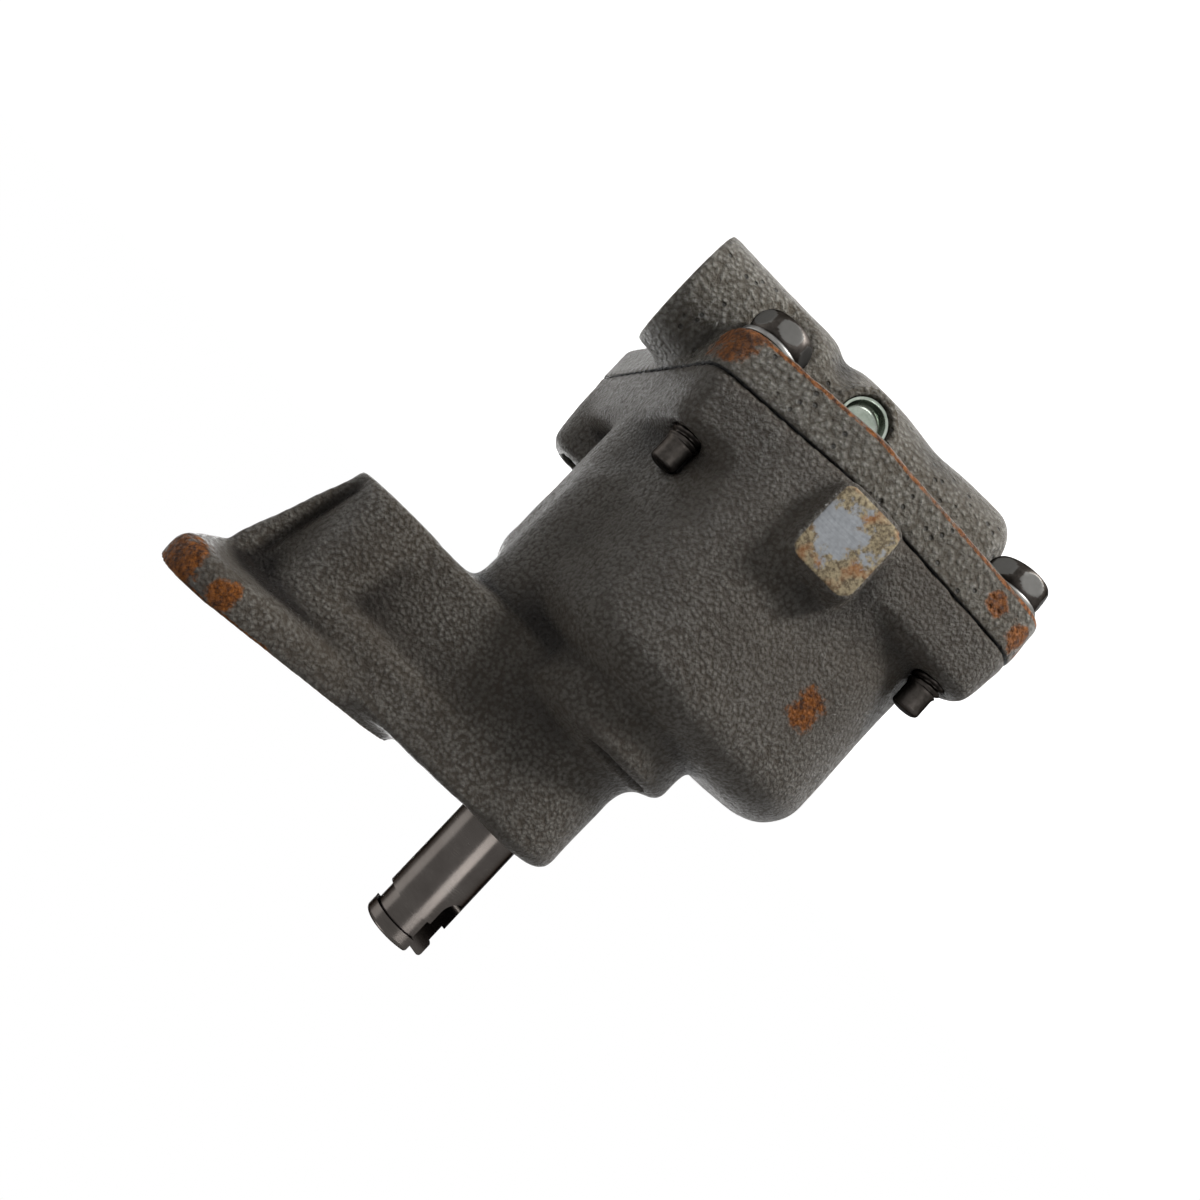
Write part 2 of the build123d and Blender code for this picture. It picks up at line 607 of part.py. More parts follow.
def relief_cup_plug():
    """Thin cup pressed into the near end of the relief bore, with its dish outwards."""
    mouth = RELIEF_NEAR_Y + CUP_RECESS
    base = mouth + CUP_DEPTH
    cup = cylinder(CUP_RADIUS, relief_point(mouth), relief_point(base))
    cup = fillet(cup.edges().sort_by(Axis.Y)[-1], CUP_ROUND)
    dish = cylinder(CUP_RADIUS - CUP_WALL, relief_point(mouth - 1), relief_point(base - CUP_WALL))
    return cup - fillet(dish.edges().sort_by(Axis.Y)[-1], CUP_ROUND)


def all_parts():
    """Every node name with its solid."""
    parts = {"pump_body": pump_body(), "pump_cover": pump_cover()}
    parts["drive_shaft"] = drive_shaft()
    parts["drive_gear"] = gear(0.0, SHAFT_RADIUS) - lock_pin_hole()
    parts["gear_lock_pin"] = lock_pin()
    parts["idler_shaft"] = idler_shaft()
    parts["idler_gear"] = gear(CENTRE_DISTANCE, SHAFT_RADIUS + RUNNING_CLEARANCE)
    for number, (x, y, _) in enumerate(EAR_CIRCLES, start=1):
        parts[f"cover_bolt_{number}"] = cover_bolt(x, y)
        parts[f"cover_washer_{number}"] = cover_washer(x, y)
    parts["relief_piston"] = relief_piston()
    parts["relief_spring"] = relief_spring()
    parts["relief_spring_seat"] = relief_spring_seat()
    parts["relief_roll_pin"] = relief_pin_bar(2 * RELIEF_BOSS_RADIUS - PIN_RECESS)
    parts["relief_cup_plug"] = relief_cup_plug()
    return parts


if __name__ == "__main__":
    os.makedirs("parts", exist_ok=True)
    for name, solid in all_parts().items():
        export_step(solid, f"parts/{name}.step")
        size = solid.bounding_box().size
        print(f"{name}: {size.X:.1f} x {size.Y:.1f} x {size.Z:.1f}, {len(solid.solids())} solid")
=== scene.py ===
"""Looks of the gear-type engine oil pump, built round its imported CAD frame.

The two iron castings get one blended skin each, made from the frame's own shape, and the cover's
fasteners get their threads, crowned heads and coned washers. The row frame holds throughout: +Z
runs along the drive shaft to its slotted end, +X to the mounting bolt, -Y to the milled pad.
Shapes are worked out in millimetres and put into their meshes in metres.
"""

import json
import logging
import math
from dataclasses import dataclass, field
from enum import Enum

import bmesh
import bpy
import numpy as np
from mathutils import Matrix, Vector


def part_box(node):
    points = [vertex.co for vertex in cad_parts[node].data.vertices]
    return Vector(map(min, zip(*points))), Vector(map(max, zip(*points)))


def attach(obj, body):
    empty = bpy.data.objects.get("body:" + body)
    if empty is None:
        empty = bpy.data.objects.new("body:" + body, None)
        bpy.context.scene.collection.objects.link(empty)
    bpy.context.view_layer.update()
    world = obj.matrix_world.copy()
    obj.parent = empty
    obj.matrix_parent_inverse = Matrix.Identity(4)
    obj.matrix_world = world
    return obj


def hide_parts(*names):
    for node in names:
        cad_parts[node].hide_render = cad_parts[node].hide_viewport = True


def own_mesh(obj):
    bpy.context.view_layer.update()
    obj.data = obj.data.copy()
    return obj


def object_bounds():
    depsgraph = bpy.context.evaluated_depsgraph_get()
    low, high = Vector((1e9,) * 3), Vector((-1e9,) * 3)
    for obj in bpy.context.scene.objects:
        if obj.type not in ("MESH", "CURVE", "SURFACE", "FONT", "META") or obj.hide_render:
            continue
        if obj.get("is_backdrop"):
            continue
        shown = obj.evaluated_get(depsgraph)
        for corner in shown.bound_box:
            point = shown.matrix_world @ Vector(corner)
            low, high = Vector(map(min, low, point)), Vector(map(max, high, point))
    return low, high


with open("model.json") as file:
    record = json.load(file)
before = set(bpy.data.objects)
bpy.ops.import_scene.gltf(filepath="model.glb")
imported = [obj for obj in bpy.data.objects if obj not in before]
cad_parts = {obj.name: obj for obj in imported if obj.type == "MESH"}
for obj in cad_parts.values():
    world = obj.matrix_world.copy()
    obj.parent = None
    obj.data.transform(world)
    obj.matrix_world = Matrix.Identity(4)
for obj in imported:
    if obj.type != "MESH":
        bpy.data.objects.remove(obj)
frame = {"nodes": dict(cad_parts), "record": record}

LOG = logging.getLogger("oil_pump")
MM = 0.001
FULL_TURN = 2.0 * math.pi
COVER_BOLTS = range(1, 5)
NET_MM = 0.85
COVER_NET_SHARE = 0.8

Tree = bpy.types.NodeTree
Socket = bpy.types.NodeSocket


class Axis(Enum):
    """An axis of the row frame, as its column in an array of points."""

    X = 0
    Y = 1
    Z = 2


def linear(hex_colour: str) -> tuple:
    """Linear RGBA of a hex sRGB colour.

    Args:
        hex_colour: six hex digits, with no leading sign.

    Returns:
        Four floats, the last one an alpha of 1.
    """
    parts = [int(hex_colour[i : i + 2], 16) / 255 for i in (0, 2, 4)]
    return tuple([p / 12.92 if p <= 0.04045 else ((p + 0.055) / 1.055) ** 2.4 for p in parts] + [1.0])


def add_node(
    tree: Tree, kind: str, inputs: dict | None = None, out: int | str = 0, **settings: object
) -> Socket | bpy.types.Node:
    """Add a shader node with its settings, values and links.

    Args:
        tree: the node tree.
        kind: the node's type name without the ShaderNode prefix.
        inputs: input name or number to a value, or to the output socket that feeds it.
        out: which output to return.
        settings: the node's own properties.

    Returns:
        The chosen output socket, or the node where it has no outputs.
    """
    node = tree.nodes.new("ShaderNode" + kind)
    for key, value in settings.items():
        setattr(node, key, value)
    for key, value in (inputs or {}).items():
        if isinstance(value, Socket):
            tree.links.new(value, node.inputs[key])
        else:
            node.inputs[key].default_value = value
    return node.outputs[out] if len(node.outputs) else node


def empty_tree(owner: bpy.types.Material | bpy.types.World) -> Tree:
    """Turn on an owner's node tree and clear it.

    Args:
        owner: a material or a world.

    Returns:
        The empty tree.
    """
    owner.use_nodes = True
    owner.node_tree.nodes.clear()
    return owner.node_tree


def height_gap(tree: Tree, place: Socket, level_mm: float) -> Socket:
    """Distance of a point from a level along Z.

    Args:
        tree: the node tree.
        place: the point's place.
        level_mm: the level in millimetres.

    Returns:
        The socket with the distance in metres.
    """
    z = add_node(tree, "SeparateXYZ", {0: place}, out=Axis.Z.value)
    gap = add_node(tree, "Math", {0: z, 1: level_mm * MM}, operation="SUBTRACT")
    return add_node(tree, "Math", {0: gap}, operation="ABSOLUTE")


def box_mm(node: str) -> tuple:
    """Lowest and highest corner of a CAD node in millimetres."""
    low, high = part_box(node)
    return np.array(low) / MM, np.array(high) / MM


def centre_mm(node: str) -> np.ndarray:
    """Middle of a CAD node's box in millimetres."""
    return sum(box_mm(node)) / 2


def mount_mm(name: str) -> tuple:
    """Point and radius of one of the record's bores, in millimetres."""
    found = next(m for m in frame["record"]["mounts"] if m["name"] == name)
    return np.array(found["pos_m"]) / MM, found["dims"]["r_mm"]


@dataclass(frozen=True)
class Stain:
    """A rust stain round a point.

    Attributes:
        centre: the point, in millimetres.
        radius: how far it reaches, in millimetres.
        strength: how thickly it lies, 1 being usual.
    """

    centre: tuple
    radius: float
    strength: float = 1.0


@dataclass(frozen=True)
class CutFace:
    """A plane that a cutter left, beyond which the finish turns smooth.

    Attributes:
        axis: the plane's axis.
        level: its place along the axis, in millimetres.
        side: +1 where the metal ends above the level, -1 where it ends below.
        far_y: how far it reaches along Y, in millimetres.
        start: how far inside the plane the finish starts to change, in millimetres.
        width: the distance over which it changes, in millimetres.
    """

    axis: Axis
    level: float
    side: int
    far_y: float = 1000.0
    start: float = 0.12
    width: float = 0.06

    def mask(self, tree: Tree, place: Socket) -> Socket:
        """Step from 0 to 1 just inside the plane, as far along Y as the face reaches.

        Args:
            tree: the node tree.
            place: the point's place.

        Returns:
            The mask's socket.
        """
        edge = (self.level - self.start * self.side) * MM
        ends = {1: edge, 2: edge + self.width * self.side * MM}
        along = add_node(tree, "SeparateXYZ", {0: place}, out=self.axis.value)
        beyond = add_node(tree, "MapRange", {0: along, **ends})
        y = add_node(tree, "SeparateXYZ", {0: place}, out=Axis.Y.value)
        inside = add_node(tree, "Math", {0: y, 1: self.far_y * MM}, operation="LESS_THAN")
        return add_node(tree, "Math", {0: beyond, 1: inside}, operation="MULTIPLY")


@dataclass(frozen=True)
class SandCastIron:
    """Grey iron cast in sand, oiled and lightly rusted.

    The sand leaves rounded grain under a millimetre across. Its crests are rubbed and catch the
    light, and shade is painted dark into the hollows. Milled faces are smooth and paler.

    Attributes:
        slot: the record's material slot, also the material's name.
        crest: colour of rubbed crests.
        base: colour between them.
        painted_shade: colour of the shade painted into hollows and pressed grooves.
        grain_mm: size of the sand's grain.
        depth_mm: depth of the grain.
        seam_mm: height of the joint, where a dark line gathers.
        cut_faces: milled planes.
        stains: where rust gathers.
        clean_spot: the middle of what rust has left bare on the milled face, in millimetres.
        rim_mm: height of an edge along which a thin line of rust runs on the near side.
        pits: how much of the surface has dark pinholes, from 0 to 1.
    """

    slot: str
    crest: str
    base: str
    painted_shade: str
    grain_mm: float
    depth_mm: float
    seam_mm: float
    cut_faces: tuple
    stains: tuple
    clean_spot: tuple
    rim_mm: float
    pits: float = 0.0

    def grain(self, tree: Tree, place: Socket) -> Socket:
        """Height of the sand's grain: rounded pebbles with finer sand over them.

        Args:
            tree: the node tree.
            place: the point's place.

        Returns:
            The height's socket.
        """
        pebble = add_node(
            tree, "TexVoronoi", {"Vector": place, "Scale": 1 / (self.grain_mm * MM), "Smoothness": 0.6},
            feature="SMOOTH_F1",
        )
        sand = add_node(
            tree, "TexNoise",
            {
                "Vector": place, "Scale": 1 / (0.8 * self.grain_mm * MM), "Detail": 5.0,
                "Roughness": 0.68,
            },
        )
        domes = add_node(tree, "MapRange", {0: pebble, 1: 0.75, 2: 0.05})
        mix = add_node(tree, "Math", {0: domes, 1: 0.40}, operation="MULTIPLY")
        return add_node(tree, "Math", {0: sand, 1: 0.90, 2: mix}, operation="MULTIPLY_ADD")

    def iron_tone(self, tree: Tree, place: Socket, height: Socket) -> Socket:
        """Colour of the cast surface from its grain and a broad drift, with shade painted into its
        hollows.

        Args:
            tree: the node tree.
            place: the point's place.
            height: the grain's height.

        Returns:
            The colour's socket.
        """
        crest = add_node(
            tree, "MapRange", {0: height, 1: 0.42, 2: 1.02}, interpolation_type="SMOOTHSTEP",
        )
        tone = add_node(
            tree, "Mix", {0: crest, 6: linear(self.base), 7: linear(self.crest)}, out=2,
            data_type="RGBA",
        )
        drift = add_node(tree, "TexNoise", {"Vector": place, "Scale": 1 / (16 * MM), "Detail": 3.0})
        drift = add_node(tree, "MapRange", {0: drift, 1: 0.35, 2: 0.68, 3: 0.0, 4: 0.55})
        tone = add_node(tree, "Mix", {0: drift, 6: tone, 7: linear(self.base)}, out=2, data_type="RGBA")
        # Painted shade: the skin's per-vertex attribute darkens hollows and pressed grooves towards the
        # shade colour.
        hollow_shade = add_node(tree, "Attribute", attribute_name="hollow_shade", out="Fac")
        deep = add_node(tree, "MapRange", {0: hollow_shade, 1: 0.05, 2: 0.85, 3: 0.0, 4: 0.92})
        dark = linear(self.painted_shade)
        return add_node(tree, "Mix", {0: deep, 6: tone, 7: dark}, out=2, data_type="RGBA")

    def stain_mask(self, tree: Tree, place: Socket) -> Socket:
        """Where rust lies: speckled patches inside each stain's reach and along the rim.

        Args:
            tree: the node tree.
            place: the point's place.

        Returns:
            The mask's socket.
        """
        total = self.rusty_rim(tree, place)
        for stain in self.stains:
            centre = tuple(c * MM for c in stain.centre)
            away = add_node(
                tree, "VectorMath", {0: place, 1: centre}, out="Value", operation="DISTANCE",
            )
            reach = {1: stain.radius * MM, 2: 0.2 * stain.radius * MM, 4: stain.strength}
            near = add_node(tree, "MapRange", {0: away, **reach}, interpolation_type="SMOOTHSTEP")
            total = add_node(tree, "Math", {0: total, 1: near}, operation="MAXIMUM")
        patch = add_node(
            tree, "TexNoise",
            {"Vector": place, "Scale": 1 / (3.2 * MM), "Detail": 6.0, "Roughness": 0.72},
        )
        lift = add_node(tree, "Math", {0: total, 1: 0.68}, operation="MULTIPLY")
        speckled = add_node(tree, "Math", {0: patch, 1: 1.3, 2: lift}, operation="MULTIPLY_ADD")
        return add_node(
            tree, "MapRange", {0: speckled, 1: 1.02, 2: 1.24}, interpolation_type="SMOOTHSTEP",
        )

    def rusty_rim(self, tree: Tree, place: Socket) -> Socket:
        """Band along the rim's height on the near side, where rust starts.

        Args:
            tree: the node tree.
            place: the point's place.

        Returns:
            The band's mask.
        """
        gap = height_gap(tree, place, self.rim_mm)
        band = add_node(tree, "MapRange", {0: gap, 1: 0.9 * MM, 2: 0.3 * MM, 4: 0.9})
        y = add_node(tree, "SeparateXYZ", {0: place}, out=Axis.Y.value)
        near = add_node(tree, "MapRange", {0: y, 1: -15.0 * MM, 2: -18.0 * MM})
        return add_node(tree, "Math", {0: band, 1: near}, operation="MULTIPLY")

    def cut_mask(self, tree: Tree, place: Socket) -> Socket:
        """Where a cutter made the surface smooth.

        Args:
            tree: the node tree.
            place: the point's place.

        Returns:
            The mask's socket.
        """
        total, *others = [face.mask(tree, place) for face in self.cut_faces]
        for mask in others:
            total = add_node(tree, "Math", {0: total, 1: mask}, operation="MAXIMUM")
        return total

    def cut_tone(self, tree: Tree, place: Socket) -> Socket:
        """Milled iron: blue-grey in the middle, ochre-brown rust creeping in by patches.

        Args:
            tree: the node tree.
            place: the point's place.

        Returns:
            The colour's socket.
        """
        long_place = add_node(tree, "Mapping", {0: place, 3: (1.0, 1.0, 9.0)})
        lines = add_node(
            tree, "TexNoise", {"Vector": long_place, "Scale": 1 / (3.0 * MM), "Detail": 4.0},
        )
        steel = add_node(
            tree, "Mix", {0: lines, 6: linear("686a6d"), 7: linear("85888b")}, out=2, data_type="RGBA",
        )
        creep = add_node(
            tree, "TexNoise",
            {"Vector": place, "Scale": 1 / (6.5 * MM), "Detail": 7.0, "Roughness": 0.68},
        )
        middle = tuple(c * MM for c in self.clean_spot)
        away = add_node(tree, "VectorMath", {0: place, 1: middle}, out="Value", operation="DISTANCE")
        creep = add_node(tree, "Math", {0: away, 1: 0.040 / MM, 2: creep}, operation="MULTIPLY_ADD")
        rusty = add_node(
            tree, "MapRange", {0: creep, 1: 0.62, 2: 0.70}, interpolation_type="SMOOTHSTEP",
        )
        speck = add_node(
            tree, "TexNoise",
            {"Vector": place, "Scale": 1 / (0.7 * MM), "Detail": 4.0, "Roughness": 0.7},
        )
        speck = add_node(tree, "MapRange", {0: speck, 1: 0.40, 2: 0.62})
        ochre = add_node(
            tree, "Mix", {0: speck, 6: linear("4c4234"), 7: linear("857a62")}, out=2, data_type="RGBA",
        )
        fresh = add_node(tree, "TexNoise", {"Vector": place, "Scale": 1 / (4.0 * MM), "Detail": 6.0})
        fresh = add_node(tree, "MapRange", {0: fresh, 1: 0.52, 2: 0.68, 4: 0.6})
        ochre = add_node(
            tree, "Mix", {0: fresh, 6: ochre, 7: linear("7d4a22")}, out=2, data_type="RGBA",
        )
        return add_node(tree, "Mix", {0: rusty, 6: steel, 7: ochre}, out=2, data_type="RGBA")

    def pin_holes(self, tree: Tree, place: Socket) -> Socket:
        """Scattered round pinholes, as a height that drops to 0 in each."""
        cells = add_node(tree, "TexVoronoi", {"Vector": place, "Scale": 1 / (2.6 * MM)}, feature="F1")
        return add_node(tree, "MapRange", {0: cells, 1: 0.10, 2: 0.22}, interpolation_type="SMOOTHSTEP")

    def build(self) -> bpy.types.Material:
        """Build the material.

        Returns:
            The Blender material.
        """
        material = bpy.data.materials.new(self.slot)
        tree = empty_tree(material)
        place = add_node(tree, "TexCoord", out="Object")
        height = self.grain(tree, place)
        tone = self.iron_tone(tree, place, height)
        if self.pits:
            hole = self.pin_holes(tree, place)
            shut = add_node(tree, "Math", {0: 1.0, 1: hole}, operation="SUBTRACT")
            shut = add_node(tree, "Math", {0: shut, 1: self.pits}, operation="MULTIPLY")
            tone = add_node(
                tree, "Mix", {0: shut, 6: tone, 7: linear("0d0a08")}, out=2, data_type="RGBA",
            )
            height = add_node(tree, "Math", {0: hole, 1: 0.6, 2: height}, operation="MULTIPLY_ADD")
        stain = self.stain_mask(tree, place)
        speck = add_node(
            tree, "TexNoise",
            {"Vector": place, "Scale": 1 / (0.9 * MM), "Detail": 5.0, "Roughness": 0.75},
        )
        speck = add_node(tree, "MapRange", {0: speck, 1: 0.38, 2: 0.66})
        rust = add_node(
            tree, "Mix", {0: speck, 6: linear("2a160a"), 7: linear("87501f")}, out=2, data_type="RGBA",
        )
        tone = add_node(tree, "Mix", {0: stain, 6: tone, 7: rust}, out=2, data_type="RGBA")
        cut = self.cut_mask(tree, place)
        milled = self.cut_tone(tree, place)
        tone = add_node(tree, "Mix", {0: cut, 6: tone, 7: milled}, out=2, data_type="RGBA")
        tone = self.joint_line(tree, place, tone)
        dull = add_node(tree, "Math", {0: stain, 1: cut}, operation="MAXIMUM")
        rubbed = add_node(tree, "MapRange", {0: height, 1: 0.42, 2: 0.78, 3: 0.50, 4: 0.22})
        rough = add_node(tree, "Math", {0: dull, 1: 0.4, 2: rubbed}, operation="MULTIPLY_ADD")
        metal = add_node(tree, "MapRange", {0: cut, 3: 0.0, 4: 0.25})
        relief = add_node(tree, "MapRange", {0: cut, 3: 1.0, 4: 0.06})
        depth = self.depth_mm * MM
        bump = add_node(tree, "Bump", {"Height": height, "Strength": relief, "Distance": depth})
        shader = add_node(
            tree, "BsdfPrincipled",
            {
                "Base Color": tone, "Roughness": rough, "Metallic": metal, "Normal": bump,
                "Specular IOR Level": 0.16,
            },
        )
        add_node(tree, "OutputMaterial", {0: shader})
        return material

    def joint_line(self, tree: Tree, place: Socket, tone: Socket) -> Socket:
        """Darken a thin line where body and cover meet.

        Args:
            tree: the node tree.
            place: the point's place.
            tone: the colour so far.

        Returns:
            The darkened colour's socket.
        """
        gap = height_gap(tree, place, self.seam_mm)
        line = add_node(tree, "MapRange", {0: gap, 1: 0.34 * MM, 2: 0.10 * MM})
        return add_node(tree, "Mix", {0: line, 6: tone, 7: linear("060403")}, out=2, data_type="RGBA")


@dataclass(frozen=True)
class TurnedSteel:
    """Bare or plated steel with fine rings or drift from how it was made.

    Ground shafts carry faint rings across their axis that draw the light into streaks. Black oxide
    is dark and satin, with worn edges. Zinc plate is silvery with a green cast.

    Attributes:
        slot: the record's material slot, also the material's name.
        light: brighter tone.
        dark: darker tone.
        roughness: mean roughness.
        stretch: how much finer the pattern is along X, Y and Z.
        pattern_mm: size of the pattern.
        depth_mm: depth of its relief.
        worn: tone of worn edges, where the piece has a wear attribute.
        edge: tint of reflections at a slant.
    """

    slot: str
    light: str
    dark: str
    roughness: float
    stretch: tuple = (1.0, 1.0, 1.0)
    pattern_mm: float = 2.0
    depth_mm: float = 0.01
    worn: str = "6a6866"
    edge: str = "8a8a8a"

    def build(self) -> bpy.types.Material:
        """Build the material.

        Returns:
            The Blender material.
        """
        material = bpy.data.materials.new(self.slot)
        tree = empty_tree(material)
        place = add_node(tree, "TexCoord", out="Object")
        drawn = add_node(tree, "Mapping", {0: place, 3: self.stretch})
        lines = add_node(
            tree, "TexNoise",
            {"Vector": drawn, "Scale": 1 / (self.pattern_mm * MM), "Detail": 4.0, "Roughness": 0.6},
        )
        blotch = add_node(tree, "TexNoise", {"Vector": place, "Scale": 1 / (5.0 * MM), "Detail": 3.0})
        both = add_node(tree, "Math", {0: lines, 1: blotch}, operation="ADD")
        share = add_node(tree, "MapRange", {0: both, 1: 0.75, 2: 1.25})
        tone = add_node(
            tree, "Mix", {0: share, 6: linear(self.dark), 7: linear(self.light)}, out=2,
            data_type="RGBA",
        )
        wear = add_node(tree, "Attribute", attribute_name="wear", out="Fac")
        wear = add_node(tree, "Math", {0: wear, 1: lines}, operation="MULTIPLY")
        wear = add_node(tree, "MapRange", {0: wear, 1: 0.08, 2: 0.30})
        tone = add_node(tree, "Mix", {0: wear, 6: tone, 7: linear(self.worn)}, out=2, data_type="RGBA")
        rough = add_node(
            tree, "MapRange",
            {0: both, 1: 0.7, 2: 1.3, 3: 0.85 * self.roughness, 4: 1.2 * self.roughness},
        )
        depth = self.depth_mm * MM
        bump = add_node(tree, "Bump", {"Height": lines, "Strength": 1.0, "Distance": depth})
        shader = add_node(
            tree, "BsdfPrincipled",
            {
                "Base Color": tone, "Roughness": rough, "Metallic": 1.0, "Normal": bump,
                "Specular Tint": linear(self.edge),
            },
        )
        add_node(tree, "OutputMaterial", {0: shader})
        return material


@dataclass(frozen=True)
class HeldBore:
    """A machined bore or pocket that a skin keeps as it is, in millimetres.

    Attributes:
        axis: the axis that it runs along.
        point: a point on its middle line.
        radius: its radius.
        low: its lower end along the axis.
        high: its upper end.
        margin: how far round it the skin is held too.
    """

    axis: Axis
    point: tuple
    radius: float
    low: float
    high: float
    margin: float = 0.3

    def freedom(self, points: np.ndarray, reach: float) -> np.ndarray:
        """How free each point is: 0 in the bore, rising to 1 at a reach outside it.

        Args:
            points: rows of x, y, z in millimetres.
            reach: the distance over which freedom returns.

        Returns:
            One number from 0 to 1 per point.
        """
        across = [i for i in range(3) if i != self.axis.value]
        radial = np.linalg.norm(points[:, across] - np.array(self.point)[across], axis=1) - self.radius
        along = points[:, self.axis.value]
        outside = np.maximum(self.low - along, along - self.high)
        away = np.maximum(np.maximum(radial, outside), 0.0)
        return np.clip((away - self.margin) / reach, 0.0, 1.0)


@dataclass(frozen=True)
class HeldPlane:
    """A machined plane that a skin keeps as it is, within a box, in millimetres.

    Attributes:
        axis: the axis across it.
        level: its place along the axis.
        low: the box's lowest corner.
        high: the box's highest corner.
        margin: how far from it the skin is held too.
    """

    axis: Axis
    level: float
    low: tuple = (-1e3, -1e3, -1e3)
    high: tuple = (1e3, 1e3, 1e3)
    margin: float = 0.35

    def freedom(self, points: np.ndarray, reach: float) -> np.ndarray:
        """How free each point is: 0 on the plane, rising to 1 at a reach from it.

        Args:
            points: rows of x, y, z in millimetres.
            reach: the distance over which freedom returns.

        Returns:
            One number from 0 to 1 per point.
        """
        beside = np.maximum(np.array(self.low) - points, points - np.array(self.high)).max(axis=1)
        away = np.maximum(np.abs(points[:, self.axis.value] - self.level), beside)
        return np.clip((away - self.margin) / reach, 0.0, 1.0)


@dataclass(frozen=True)
class Waviness:
    """Smooth random waves in space, from a lattice of seeded random numbers.

    The value at a point blends the eight lattice numbers round point / size, each weighted by the
    product of smooth steps of the point's place in its lattice cell along the three axes. A smooth
    step of s is s x s x (3 - 2 x s).
    """

    size_mm: float
    seed: int
    lattice: int = 48

    def value(self, points: np.ndarray) -> np.ndarray:
        """Wave height at each point.

        Args:
            points: rows of x, y, z in millimetres.

        Returns:
            One number from -1 to 1 per point.
        """
        numbers = np.random.default_rng(self.seed).uniform(-1, 1, (self.lattice,) * 3)
        scaled = points / self.size_mm + self.lattice
        cell = np.floor(scaled).astype(int)
        part = scaled - cell
        weight = part * part * (3 - 2 * part)
        total = np.zeros(len(points))
        for corner in np.ndindex(2, 2, 2):
            index = (cell + corner) % self.lattice
            share = np.where(np.array(corner, bool), weight, 1 - weight).prod(axis=1)
            total += share * numbers[index[:, 0], index[:, 1], index[:, 2]]
        return total


